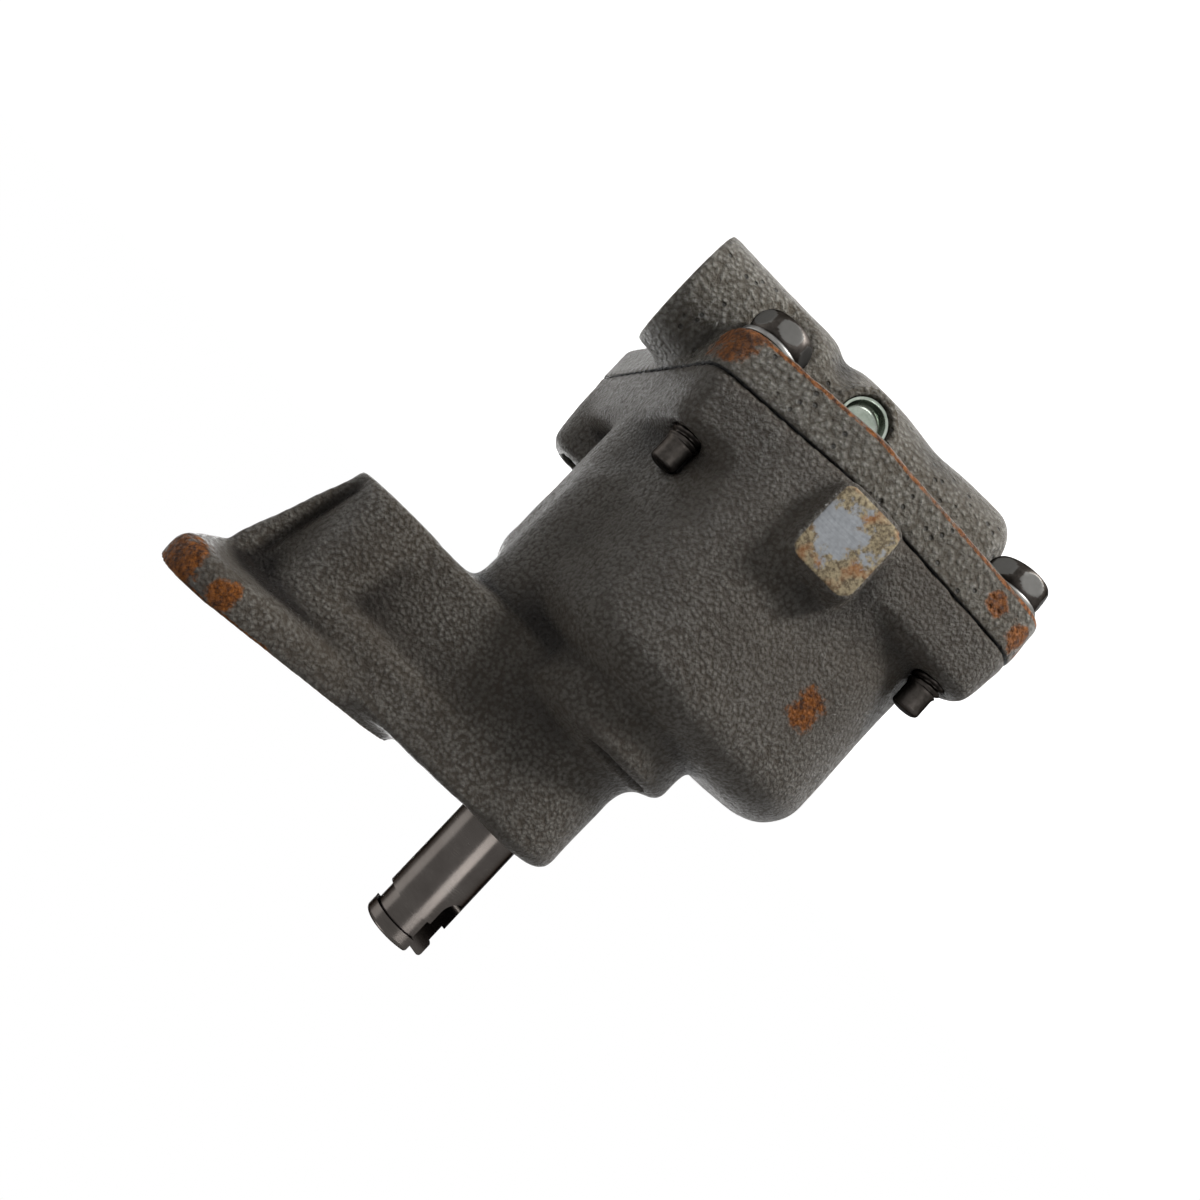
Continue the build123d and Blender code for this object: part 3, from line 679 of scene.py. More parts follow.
@dataclass
class CastSkin:
    """Blended skin of one iron casting, made from its CAD node.

    A net of even quads covers the node. Each fill pass moves the free vertices out along their
    normals by the part of their neighbours' mean that lies outside them, which fills concave
    corners with soft blends. A few averaging passes then ease the free edges, and two sizes of waves
    give the surface the unevenness of a sand mould.

    Attributes:
        node: the CAD node.
        slot: its material slot; not used.
        spacing_mm: spacing of the net.
        fill_passes: passes that fill concave corners.
        ease_passes: passes that ease all edges.
        rim_passes: passes that smooth the outlines of held planes.
        reach_mm: distance from a held face over which the skin becomes free.
        fill_share: part of the way to its neighbours' mean that a fill pass moves a vertex.
        ease_share: the same for an averaging pass.
        hollow_passes: passes of the wide average that finds the hollows where shade is painted.
        hollow_mm: depth below it at which the shade painted in a hollow is darkest.
        groove_mm: depth of a pressed groove at which the shade painted in it is darkest.
        waves: size, depth and seed of each set of waves.
        points: the net's vertices in millimetres.
        quads: the net's faces.
        pressed: how deep each vertex was pressed in.
    """

    node: str = "pump_body"
    slot: str = "body_iron"
    spacing_mm: float = NET_MM
    fill_passes: int = 13
    ease_passes: int = 3
    rim_passes: int = 6
    reach_mm: float = 1.6
    fill_share: float = 0.9
    ease_share: float = 0.5
    hollow_passes: int = 140
    hollow_mm: float = 1.4
    groove_mm: float = 1.8
    waves: tuple = ((7.5, 0.22, 3), (3.2, 0.10, 8))
    points: np.ndarray | None = field(default=None, init=False)
    quads: np.ndarray | None = field(default=None, init=False)
    pressed: np.ndarray | None = field(default=None, init=False)

    def held_faces(self) -> tuple:
        """Machined faces that stay as they are."""
        return ()

    def carve(self, normals: np.ndarray) -> np.ndarray:
        """Depth to press in at each vertex for hollows finer than the frame's own."""
        return np.zeros(len(self.points))

    def read_net(self) -> None:
        """Read the even net from a remeshed copy of the CAD node."""
        copy = new_object("net_source", frame["nodes"][self.node].data.copy())
        modifier = copy.modifiers.new("net", "REMESH")
        modifier.mode = "VOXEL"
        modifier.voxel_size = self.spacing_mm * MM
        modifier.adaptivity = 0.0
        shown = copy.evaluated_get(bpy.context.evaluated_depsgraph_get())
        mesh = shown.to_mesh()
        points = np.empty(len(mesh.vertices) * 3, np.float32)
        mesh.vertices.foreach_get("co", points)
        corners = np.empty(len(mesh.loops), np.int32)
        mesh.loops.foreach_get("vertex_index", corners)
        self.points = points.reshape(-1, 3).astype(float) / MM
        self.quads = corners.reshape(-1, 4)
        shown.to_mesh_clear()
        data = copy.data
        bpy.data.objects.remove(copy)
        bpy.data.meshes.remove(data)

    def neighbour_mean(self, values: np.ndarray) -> np.ndarray:
        """Mean of each vertex's neighbours along the net's edges.

        Args:
            values: one row per vertex.

        Returns:
            Rows of means.
        """
        count = len(values)
        total = np.zeros_like(values)
        for shift in (1, 3):
            target = np.roll(self.quads, shift, axis=1).ravel()
            for column in range(values.shape[1]):
                weights = values[self.quads.ravel(), column]
                total[:, column] += np.bincount(target, weights=weights, minlength=count)
        degree = 2.0 * np.bincount(self.quads.ravel(), minlength=count)
        return total / np.maximum(degree, 1.0)[:, None]

    def normals(self) -> np.ndarray:
        """Unit vertex normals, from the cross product of each quad's diagonals.

        Returns:
            Rows of x, y, z.
        """
        corner = self.points[self.quads]
        face = np.cross(corner[:, 2] - corner[:, 0], corner[:, 3] - corner[:, 1])
        total = np.zeros_like(self.points)
        for column, part in np.ndindex(4, 3):
            total[:, part] += np.bincount(self.quads[:, column], face[:, part], len(self.points))
        return total / np.maximum(np.linalg.norm(total, axis=1), 1e-9)[:, None]

    def blend(self) -> None:
        """Fill concave corners, ease edges, add the waves and press in the fine grooves."""
        free = np.ones(len(self.points))
        for face in self.held_faces():
            free = np.minimum(free, face.freedom(self.points, self.reach_mm))
        low, high = self.points.min(axis=0), self.points.max(axis=0)
        self.ease_rims()
        for _ in range(self.fill_passes):
            normal = self.normals()
            outward = ((self.neighbour_mean(self.points) - self.points) * normal).sum(axis=1)
            self.points += (self.fill_share * free * np.maximum(outward, 0.0))[:, None] * normal
        for _ in range(self.ease_passes):
            step = self.neighbour_mean(self.points) - self.points
            self.points += (self.ease_share * free)[:, None] * step
        normal = self.normals()
        height = sum(
            depth * Waviness(size, seed).value(self.points) for size, depth, seed in self.waves
        )
        self.pressed = self.carve(normal)
        self.points += (free * height - self.pressed)[:, None] * normal
        self.points = np.clip(self.points, low, high)

    def ease_rims(self) -> None:
        """Average the held planes' vertices within their planes, which smooths their outlines."""
        clear = np.ones(len(self.points))
        for bore in self.held_faces():
            if isinstance(bore, HeldBore):
                clear = np.minimum(clear, bore.freedom(self.points, self.reach_mm))
        for plane in self.held_faces():
            if isinstance(plane, HeldPlane):
                share = self.ease_share * clear * (1 - plane.freedom(self.points, self.reach_mm))
                for _ in range(self.rim_passes):
                    step = self.neighbour_mean(self.points) - self.points
                    step[:, plane.axis.value] = 0.0
                    self.points += share[:, None] * step

    def hollow_shade(self) -> np.ndarray:
        """Shade to paint in hollows and grooves: the larger of how far a wide average of the surface
        lies outside each vertex and how deep it was pressed, each as a share of its darkest depth.

        Returns:
            One number from 0 to 1 per vertex.
        """
        wide = self.points.copy()
        for _ in range(self.hollow_passes):
            wide += 0.6 * (self.neighbour_mean(wide) - wide)
        depth = ((wide - self.points) * self.normals()).sum(axis=1)
        painted_shade = np.maximum(depth / self.hollow_mm, self.pressed / self.groove_mm)
        return np.clip(painted_shade, 0.0, 1.0)

    def build(self, material: bpy.types.Material) -> bpy.types.Object:
        """Build the skin and let it stand for the CAD node.

        Args:
            material: the cast finish.

        Returns:
            The new object.
        """
        self.read_net()
        self.blend()
        mesh = bpy.data.meshes.new(self.node + "_skin")
        mesh.from_pydata(self.points * MM, [], self.quads.tolist())
        mesh.polygons.foreach_set("use_smooth", np.ones(len(self.quads), bool))
        # Painted shade: each vertex keeps how darkly its hollow or groove is shaded in the iron's
        # colour.
        layer = mesh.attributes.new("hollow_shade", "FLOAT", "POINT")
        layer.data.foreach_set("value", self.hollow_shade().astype(np.float32))
        return add_piece(mesh, material, (self.node,))


@dataclass
class BodyCasting(CastSkin):
    """Pump body with its gear pockets, collar slit, arm and mounting foot.

    Attributes:
        pocket_radius: radius of the gear pockets, in millimetres like all that follow.
        pocket_top: their upper end.
        shaft_radius: radius of the shaft's bore and of the room round the shaft above it.
        shaft_top: upper end of that room.
        bolt_hole_radius: radius of a cover bolt's hole.
        bolt_hole_top: its upper end.
        outlet: the outlet's middle.
        outlet_radius: its radius.
        outlet_bottom: its lower end.
        seat_z: height of the mounting bolt's seat under the foot.
        seat_low: lowest corner of a box round the seat.
        seat_high: highest corner of that box.
        pad_low: lowest corner of a box round the milled pad.
        pad_high: highest corner of that box.
        mount_low: lowest corner of a box round the mounting pad.
        slit_radius: radius of the crevice's ring.
        slit_z: its height.
        slit_half_width: half of its width.
        slit_depth: its depth.
        crease_x: place of the crease's line at crease_z.
        crease_z: a height on the line.
        crease_slope: how far the line moves along X for each step along Z.
        crease_half_width: half of its width.
        crease_depth: its depth.
    """

    pocket_radius: float = 17.7
    pocket_top: float = -49.4
    shaft_radius: float = 6.5
    shaft_top: float = 5.0
    bolt_hole_radius: float = 3.6
    bolt_hole_top: float = -60.0
    outlet: tuple = (31.0, 0.0, 0.0)
    outlet_radius: float = 5.6
    outlet_bottom: float = -16.0
    seat_z: float = -31.0
    seat_low: tuple = (39.0, -11.0, -32.0)
    seat_high: tuple = (60.0, 11.0, -30.0)
    pad_low: tuple = (-12.0, -30.0, -83.0)
    pad_high: tuple = (2.0, -26.0, -66.0)
    mount_low: tuple = (23.0, -40.0, -1.0)
    slit_radius: float = 15.5
    slit_z: float = -24.2
    slit_half_width: float = 0.8
    slit_depth: float = 2.4
    crease_x: float = 60.9
    crease_z: float = -11.8
    crease_slope: float = 0.2
    crease_half_width: float = 1.1
    crease_depth: float = 1.4

    def held_faces(self) -> tuple:
        """Pockets, bores, joint, mounting pad, bolt seat and milled pad.

        Returns:
            The held bores and planes.
        """
        low, high = box_mm("pump_body")
        bolt, bolt_radius = mount_mm("mounting_bolt_bore")
        idler = centre_mm("idler_shaft")
        shaft = (0, 0, 0)
        above = 1.0
        faces = [
            HeldBore(Axis.Z, shaft, self.pocket_radius, low[2], self.pocket_top),
            HeldBore(Axis.Z, idler, self.pocket_radius, low[2], self.pocket_top),
            HeldBore(Axis.Z, shaft, self.shaft_radius, low[2], self.shaft_top),
            HeldBore(Axis.Z, bolt, bolt_radius, self.seat_z - 1.0, above),
            HeldBore(Axis.Z, self.outlet, self.outlet_radius, self.outlet_bottom, above),
            HeldPlane(Axis.Z, low[2]),
            HeldPlane(Axis.Z, high[2], self.mount_low),
            HeldPlane(Axis.Z, self.seat_z, self.seat_low, self.seat_high),
            HeldPlane(Axis.Y, low[1], self.pad_low, self.pad_high),
        ]
        for number in COVER_BOLTS:
            point = centre_mm(f"cover_bolt_{number}")
            hole = HeldBore(Axis.Z, point, self.bolt_hole_radius, low[2], self.bolt_hole_top)
            faces.append(hole)
        return tuple(faces)

    def carve(self, normals: np.ndarray) -> np.ndarray:
        """Crevice between neck and collar, and crease beside the foot's column, on the near side.

        The crevice's depth is a bell curve of the distance from a ring, faded out at both ends of
        its arc. The crease's is a bell curve of the distance along X from a slanted line, faded out
        at both ends of the line.

        Args:
            normals: unit vertex normals; not used here.

        Returns:
            Depth in millimetres per vertex.
        """
        x, y, z = self.points.T
        away = np.hypot(np.hypot(x, y) - self.slit_radius, z - self.slit_z)
        across = np.exp(-((away / self.slit_half_width) ** 2))
        turn = np.degrees(np.arctan2(-y, -x))
        along = np.clip((turn - 28.0) / 12.0, 0, 1) * np.clip((98.0 - turn) / 14.0, 0, 1)
        line_x = self.crease_x + self.crease_slope * (z - self.crease_z)
        beside = np.exp(-(((x - line_x) / self.crease_half_width) ** 2)) * (y < -2.0)
        ends = np.clip((-8.0 - z) / 3.0, 0, 1) * np.clip((z + 30.5) / 3.0, 0, 1)
        return self.slit_depth * across * along + self.crease_depth * beside * ends


@dataclass
class CoverCasting(CastSkin):
    """Pump cover with its inlet boss, gallery and relief valve boss.

    Attributes:
        inlet_face_x: place of the inlet's face, in millimetres like all that follow.
        inlet_bottom_x: how far in the inlet's walls are held.
        relief_near_y: near end of the relief valve's boss.
        relief_far_y: its far end.
        relief_radius: radius of the relief valve's bore.
        dips: place along X, half width and depth of each dip across the back.
    """

    node: str = "pump_cover"
    slot: str = "cover_iron"
    inlet_face_x: float = 42.5
    inlet_bottom_x: float = 18.0
    relief_near_y: float = -9.6
    relief_far_y: float = 47.0
    relief_radius: float = 4.2
    dips: tuple = ((11.5, 2.8, 1.3), (-13.0, 6.0, 0.8))

    def carve(self, normals: np.ndarray) -> np.ndarray:
        """Dips across the cover's back, on both sides of the relief boss.

        Each is a bell curve of x, kept to faces that look away from the body.

        Args:
            normals: unit vertex normals.

        Returns:
            Depth in millimetres per vertex.
        """
        x, _, z = self.points.T
        back = np.clip((-normals[:, 2] - 0.2) / 0.4, 0, 1) * np.clip((-98.0 - z) / 3.0, 0, 1)
        depths = (deep * np.exp(-(((x - middle) / width) ** 2)) for middle, width, deep in self.dips)
        return back * sum(depths)

    def held_faces(self) -> tuple:
        """Joint, inlet face and bore, relief bores and the seats of the washers.

        Returns:
            The held bores and planes.
        """
        joint_z = box_mm("pump_cover")[1][2]
        inlet, inlet_radius = mount_mm("inlet_bore")
        cup = centre_mm("relief_cup_plug")
        cup_radius = (box_mm("relief_cup_plug")[1] - cup)[0]
        washer_low, washer_high = box_mm("cover_washer_1")
        faces = [
            HeldPlane(Axis.Z, joint_z),
            HeldPlane(Axis.X, self.inlet_face_x),
            HeldBore(Axis.X, inlet, inlet_radius, self.inlet_bottom_x, self.inlet_face_x + 1),
            HeldBore(Axis.Y, cup, cup_radius + 0.1, self.relief_near_y - 1, 0.0),
            HeldBore(Axis.Y, cup, self.relief_radius, 0.0, self.relief_far_y + 1),
        ]
        for number in COVER_BOLTS:
            point = centre_mm(f"cover_washer_{number}")
            radius = (washer_high - washer_low)[0] / 2 + 0.3
            faces.append(HeldBore(Axis.Z, point, radius, washer_low[2], joint_z))
        return tuple(faces)


def new_object(name: str, data: bpy.types.ID) -> bpy.types.Object:
    """Add an object to the scene.

    Args:
        name: its name.
        data: its mesh, lamp or camera.

    Returns:
        The object.
    """
    made = bpy.data.objects.new(name, data)
    bpy.context.scene.collection.objects.link(made)
    return made


def add_piece(
    mesh: bpy.types.Mesh, material: bpy.types.Material, nodes: tuple, body: str = "housing"
) -> bpy.types.Object:
    """Put a mesh in the scene on a CAD body, standing for CAD nodes.

    Args:
        mesh: the mesh, in the row frame and in metres.
        material: its material.
        nodes: the CAD nodes that it stands for.
        body: the CAD body that it rides on.

    Returns:
        The object.
    """
    piece = new_object(mesh.name, mesh)
    mesh.materials.append(material)
    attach(piece, body)
    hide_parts(*nodes)
    LOG.info("%s: %d faces", piece.name, len(mesh.polygons))
    return piece


def ring_surface(
    name: str, rings: np.ndarray, wear: np.ndarray | None = None, closed_loop: bool = False
) -> bpy.types.Mesh:
    """Closed surface through rings of points.

    Args:
        name: the mesh's name.
        rings: array of rings, points round each ring, and x, y, z in millimetres. A first or last
            ring that has shrunk to a point becomes a pole.
        wear: a number from 0 to 1 for each point, kept as an attribute.
        closed_loop: join the last ring to the first.

    Returns:
        The mesh, welded, with its faces outwards and its sharp edges marked.
    """
    stations, around = rings.shape[:2]
    index = np.arange(stations * around).reshape(stations, around)
    start = index if closed_loop else index[:-1]
    after = np.roll(index, -1, axis=0) if closed_loop else index[1:]
    corners = [start, np.roll(start, -1, axis=1), np.roll(after, -1, axis=1), after]
    quads = np.stack(corners, axis=-1)
    mesh = bpy.data.meshes.new(name)
    mesh.from_pydata(rings.reshape(-1, 3) * MM, [], quads.reshape(-1, 4).tolist())
    layer = mesh.attributes.new("wear", "FLOAT", "POINT")
    worn = np.zeros(index.size) if wear is None else wear.ravel()
    layer.data.foreach_set("value", worn.astype(np.float32))
    welded = bmesh.new()
    welded.from_mesh(mesh)
    bmesh.ops.remove_doubles(welded, verts=welded.verts, dist=1e-6)
    bmesh.ops.recalc_face_normals(welded, faces=welded.faces)
    welded.to_mesh(mesh)
    welded.free()
    mesh.polygons.foreach_set("use_smooth", np.ones(len(mesh.polygons), bool))
    mesh.set_sharp_from_angle(angle=math.radians(38.0))
    return mesh


def round_axis(
    radius: np.ndarray, height: np.ndarray, angle: np.ndarray, centre: np.ndarray, axis: Axis
) -> np.ndarray:
    """Rings of points round an axis.

    The two places across the axis are centre + radius x cos(angle) and centre + radius x sin(angle).

    Args:
        radius: one radius per ring, as a column, or one per point.
        height: place of each ring along the axis, as a column.
        angle: angle of each point of a ring.
        centre: a point on the axis.
        axis: the axis.

    Returns:
        Array of rings, points and x, y, z.
    """
    first, second = ((axis.value + 1) % 3, (axis.value + 2) % 3)
    rings = np.empty((len(radius), angle.size, 3))
    rings[..., first] = centre[first] + radius * np.cos(angle)
    rings[..., second] = centre[second] + radius * np.sin(angle)
    rings[..., axis.value] = height
    return rings


def turned(profile: np.ndarray, around: int, centre: np.ndarray, axis: Axis) -> np.ndarray:
    """Rings of a profile turned about an axis.

    Each profile point (radius, height) gives a ring of that radius round the axis at that height.

    Args:
        profile: rows of radius and height in millimetres.
        around: points round each ring.
        centre: a point on the axis.
        axis: the axis.

    Returns:
        Array of rings, points and x, y, z.
    """
    angle = np.linspace(0, FULL_TURN, around, endpoint=False)
    return round_axis(profile[:, :1], profile[:, 1:], angle, centre, axis)


def rounded(corners: tuple, radius: float, steps: int = 5) -> np.ndarray:
    """Profile through corners, each inner one rounded.

    A corner is replaced by a quadratic curve between the points one radius along its two sides.

    Args:
        corners: rows of radius and height.
        radius: how far along each side the rounding starts, or less on a short side.
        steps: points in each rounding.

    Returns:
        Rows of radius and height.
    """
    spots = np.array(corners, float)
    rows = [spots[:1]]
    share = np.linspace(0, 1, steps)[:, None]
    for before, corner, after in zip(spots[:-2], spots[1:-1], spots[2:]):
        back, ahead = before - corner, after - corner
        back *= min(radius / np.linalg.norm(back), 0.45)
        ahead *= min(radius / np.linalg.norm(ahead), 0.45)
        curve = (1 - share) ** 2 * (corner + back) + 2 * share * (1 - share) * corner
        rows.append(curve + share**2 * (corner + ahead))
    rows.append(spots[-1:])
    return np.vstack(rows)


@dataclass
class CoverFastener:
    """One cover bolt with its washer.

    The bolt is one surface of rings from the middle of its head to the middle of its tip. Round the
    head each ring follows the smaller of a hexagon and a crowned barrel, and round the shank its
    radius dips by a wave that turns once per pitch, which makes the thread.

    Attributes:
        number: the bolt's number on the cover.
        pitch: the thread's pitch.
        thread_depth: depth of its grooves.
        plain_length: plain length under the head.
        lead_length: plain length at the tip.
        lead_radius: radius of the tip.
        shank_radius: radius over the thread's crests.
        barrel: largest radius of the head's barrel, as a share of the hexagon's corner radius.
        crown: how much the barrel shrinks towards both ends of the head, as a share of the same.
        around: points round each ring.
    """

    number: int
    pitch: float = 1.27
    thread_depth: float = 0.62
    plain_length: float = 9.0
    lead_length: float = 4.4
    lead_radius: float = 2.65
    shank_radius: float = 3.16
    barrel: float = 0.955
    crown: float = 0.13
    around: int = 72

    def head_rings(self, low: np.ndarray, high: np.ndarray, seat: float) -> tuple:
        """Rings of the hexagon head with both ends crowned.

        Radius at an angle = smaller of flat distance / cos(angle from the nearest flat's middle)
        and corner radius x (barrel - crown x the squared distance from the head's middle).

        Args:
            low: the bolt's lowest corner.
            high: its highest corner.
            seat: height of the head's underside.

        Returns:
            Array of rings, points and x, y, z, and how far each point lies on a bare flat.
        """
        centre = (low + high) / 2
        flats = (high - low)[1] / 2
        corner = flats / math.cos(math.pi / 6)
        share = np.concatenate([[0.0, 0.0], np.linspace(0.0, 1.0, 25), [1.0]])
        barrel = corner * (self.barrel - self.crown * (2 * share - 1) ** 2)
        barrel[[0, 1, -1]] = 0.0, 0.80 * flats, 0.5 * flats
        angle = np.linspace(0, FULL_TURN, self.around, endpoint=False)
        from_flat = (angle - math.pi / 2 + math.pi / 6) % (math.pi / 3) - math.pi / 6
        hexagon = flats / np.cos(from_flat)
        radius = np.minimum(hexagon[None], barrel[:, None])
        height = low[2] + (share * (seat - low[2]))[:, None]
        rings = round_axis(radius, height, angle, centre, Axis.Z)
        return rings, (hexagon[None] < barrel[:, None] - 0.02).astype(float)

    def shank_rings(self, centre: np.ndarray, seat: float, tip: float) -> np.ndarray:
        """Rings of the threaded shank, the plain lead and its chamfered end.

        Radius = shank radius - thread depth x groove. The groove is 1.25 - 1.5 x |2 x phase - 1|, kept
        from 0 to 1, and the phase is height / pitch - angle / turn without its whole part. The
        groove fades in under the head and out at the lead, where the radius narrows to the tip's.

        Args:
            centre: a point on the axis.
            seat: height of the head's underside.
            tip: height of the bolt's end.

        Returns:
            Array of rings, points and x, y, z.
        """
        lead = tip - self.lead_length
        start = seat + self.plain_length
        height = np.arange(start, lead, self.pitch / 10)[:, None]
        angle = np.linspace(0, FULL_TURN, self.around, endpoint=False)[None]
        phase = (height / self.pitch - angle / FULL_TURN) % 1.0
        groove = np.clip(1.25 - np.abs(2 * phase - 1) * 1.5, 0.0, 1.0)
        fade_in = np.clip((height - start) / self.pitch, 0, 1)
        fade_out = np.clip((lead - height) / 0.9 + 0.35, 0, 1)
        radius = self.shank_radius - self.thread_depth * groove * fade_in * fade_out
        radius = np.minimum(radius, self.lead_radius + 0.1 + 0.55 * (lead - height))
        thread = round_axis(radius, height, angle, centre, Axis.Z)
        shank, thin = self.shank_radius, self.lead_radius
        smooth = [(0.3 * shank, seat), (shank, seat), (shank, start - 0.1)]
        end = [(thin + 0.1, lead), (thin, lead + 0.3), (thin, tip - 0.5)]
        end += [(thin - 0.12, tip - 0.22), (thin - 0.45, tip), (0.0, tip)]
        before, after = (turned(np.array(p), self.around, centre, Axis.Z) for p in (smooth, end))
        return np.concatenate([before, thread, after])

    def bolt_mesh(self) -> bpy.types.Mesh:
        """Bolt as one surface, with its wear on the head's flats.

        Returns:
            The mesh.
        """
        low, high = box_mm(f"cover_bolt_{self.number}")
        seat = box_mm(f"cover_washer_{self.number}")[0][2]
        centre = (low + high) / 2
        head, flat = self.head_rings(low, high, seat)
        shank = self.shank_rings(centre, seat, high[2])
        inside = np.array([(0.95 * self.shank_radius, seat)])
        head[-1] = turned(inside, self.around, centre, Axis.Z)[0]
        rings = np.concatenate([head, shank[1:]])
        wear = np.zeros(rings.shape[:2])
        wear[: len(flat)] = flat
        return ring_surface(f"cover_bolt_{self.number}_threaded", rings, wear)

    def washer_mesh(self) -> bpy.types.Mesh:
        """Washer turned from a flat ring whose outer edge is coned and rounded.

        Returns:
            The mesh.
        """
        low, high = box_mm(f"cover_washer_{self.number}")
        outer = (high - low)[0] / 2
        thick = high[2] - low[2]
        inner = self.shank_radius + 0.04
        loop = rounded(
            (
                (inner, low[2] + thick / 2), (inner, low[2]), (outer - 1.1, low[2]),
                (outer, low[2] + 0.6), (outer, high[2]), (inner, high[2]), (inner, low[2] + thick / 2),
            ),
            0.3,
        )
        rings = turned(loop[:-1], self.around, (low + high) / 2, Axis.Z)
        wear = np.repeat(np.linspace(0.2, 0.9, len(rings))[:, None], self.around, axis=1)
        return ring_surface(f"cover_washer_{self.number}_coned", rings, wear, closed_loop=True)

    def build(self, bolt_finish: bpy.types.Material, washer_finish: bpy.types.Material) -> None:
        """Build both pieces.

        Args:
            bolt_finish: the bolt's material.
            washer_finish: the washer's material.
        """
        add_piece(self.bolt_mesh(), bolt_finish, (f"cover_bolt_{self.number}",))
        add_piece(
            self.washer_mesh(), washer_finish, (f"cover_washer_{self.number}",)
        )


@dataclass
class CupPlug:
    """Thin pressed cup in the near end of the relief bore.

    Its profile runs from the middle of the dish over the rolled rim to the middle of the base, and
    is turned about the relief valve's axis.

    Attributes:
        wall: thickness of the cup.
        dish_round: rounding at the bottom of the dish.
        around: points round each ring.
    """

    wall: float = 0.7
    dish_round: float = 1.3
    around: int = 96

    def build(self, finish: bpy.types.Material) -> None:
        """Build the cup.

        Args:
            finish: its material.
        """
        low, high = box_mm("relief_cup_plug")
        outer = (high - low)[0] / 2 - 0.02
        inner = outer - self.wall
        floor = high[1] - self.wall
        dish = rounded(((0, floor), (inner - 0.35, floor), (inner, low[1] + 0.1)), self.dish_round, 9)
        rim = np.array([(inner + 0.2, low[1]), (outer - 0.2, low[1]), (outer, low[1] + 0.2)])
        back = rounded(((outer, low[1] + 0.6), (outer, high[1]), (0, high[1])), 0.8)
        profile = np.vstack([dish, rim, back])
        rings = turned(profile, self.around, (low + high) / 2, Axis.Y)
        mesh = ring_surface("relief_cup_plug_pressed", rings)
        add_piece(mesh, finish, ("relief_cup_plug",))


@dataclass
class ReliefSpring:
    """Coil spring between the relief piston and its seat.

    Its wire is a circle carried along a helix: the circle's centre turns about the valve's axis and
    climbs evenly with the turn. The first and last rings shrink to a point.

    Attributes:
        wire: radius of the wire.
        turns: number of coils.
        travel: how far the piston shortens it; not used.
        stations: rings along the wire.
        around: points round the wire.
    """

    wire: float = 0.55
    turns: float = 9.0
    travel: float = 6.0
    stations: int = 360
    around: int = 10

    def build(self, finish: bpy.types.Material) -> None:
        """Build the spring and give it a mesh of its own.

        Args:
            finish: its material.
        """
        low, high = box_mm("relief_spring")
        middle = (low + high) / 2
        mean = (high - low)[0] / 2 - self.wire
        share = np.linspace(0, 1, self.stations)
        turn = FULL_TURN * self.turns * share
        outward = np.stack([np.cos(turn), np.zeros_like(turn), -np.sin(turn)], axis=1)
        climb = (high - low)[1] - 2 * self.wire
        centre = middle * np.array([1, 0, 1]) + mean * outward
        centre[:, 1] = low[1] + self.wire + climb * share
        along = np.gradient(centre, axis=0)
        across = np.cross(along / np.linalg.norm(along, axis=1)[:, None], outward)
        angle = np.linspace(0, FULL_TURN, self.around, endpoint=False)[None, :, None]
        circle = np.cos(angle) * outward[:, None] + np.sin(angle) * across[:, None]
        radius = np.full((self.stations, 1, 1), self.wire)
        radius[[0, -1]] = 0.0
        rings = centre[:, None] + radius * circle
        mesh = ring_surface("relief_spring_coil", rings)
        piece = add_piece(mesh, finish, ("relief_spring",))
        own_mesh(piece)


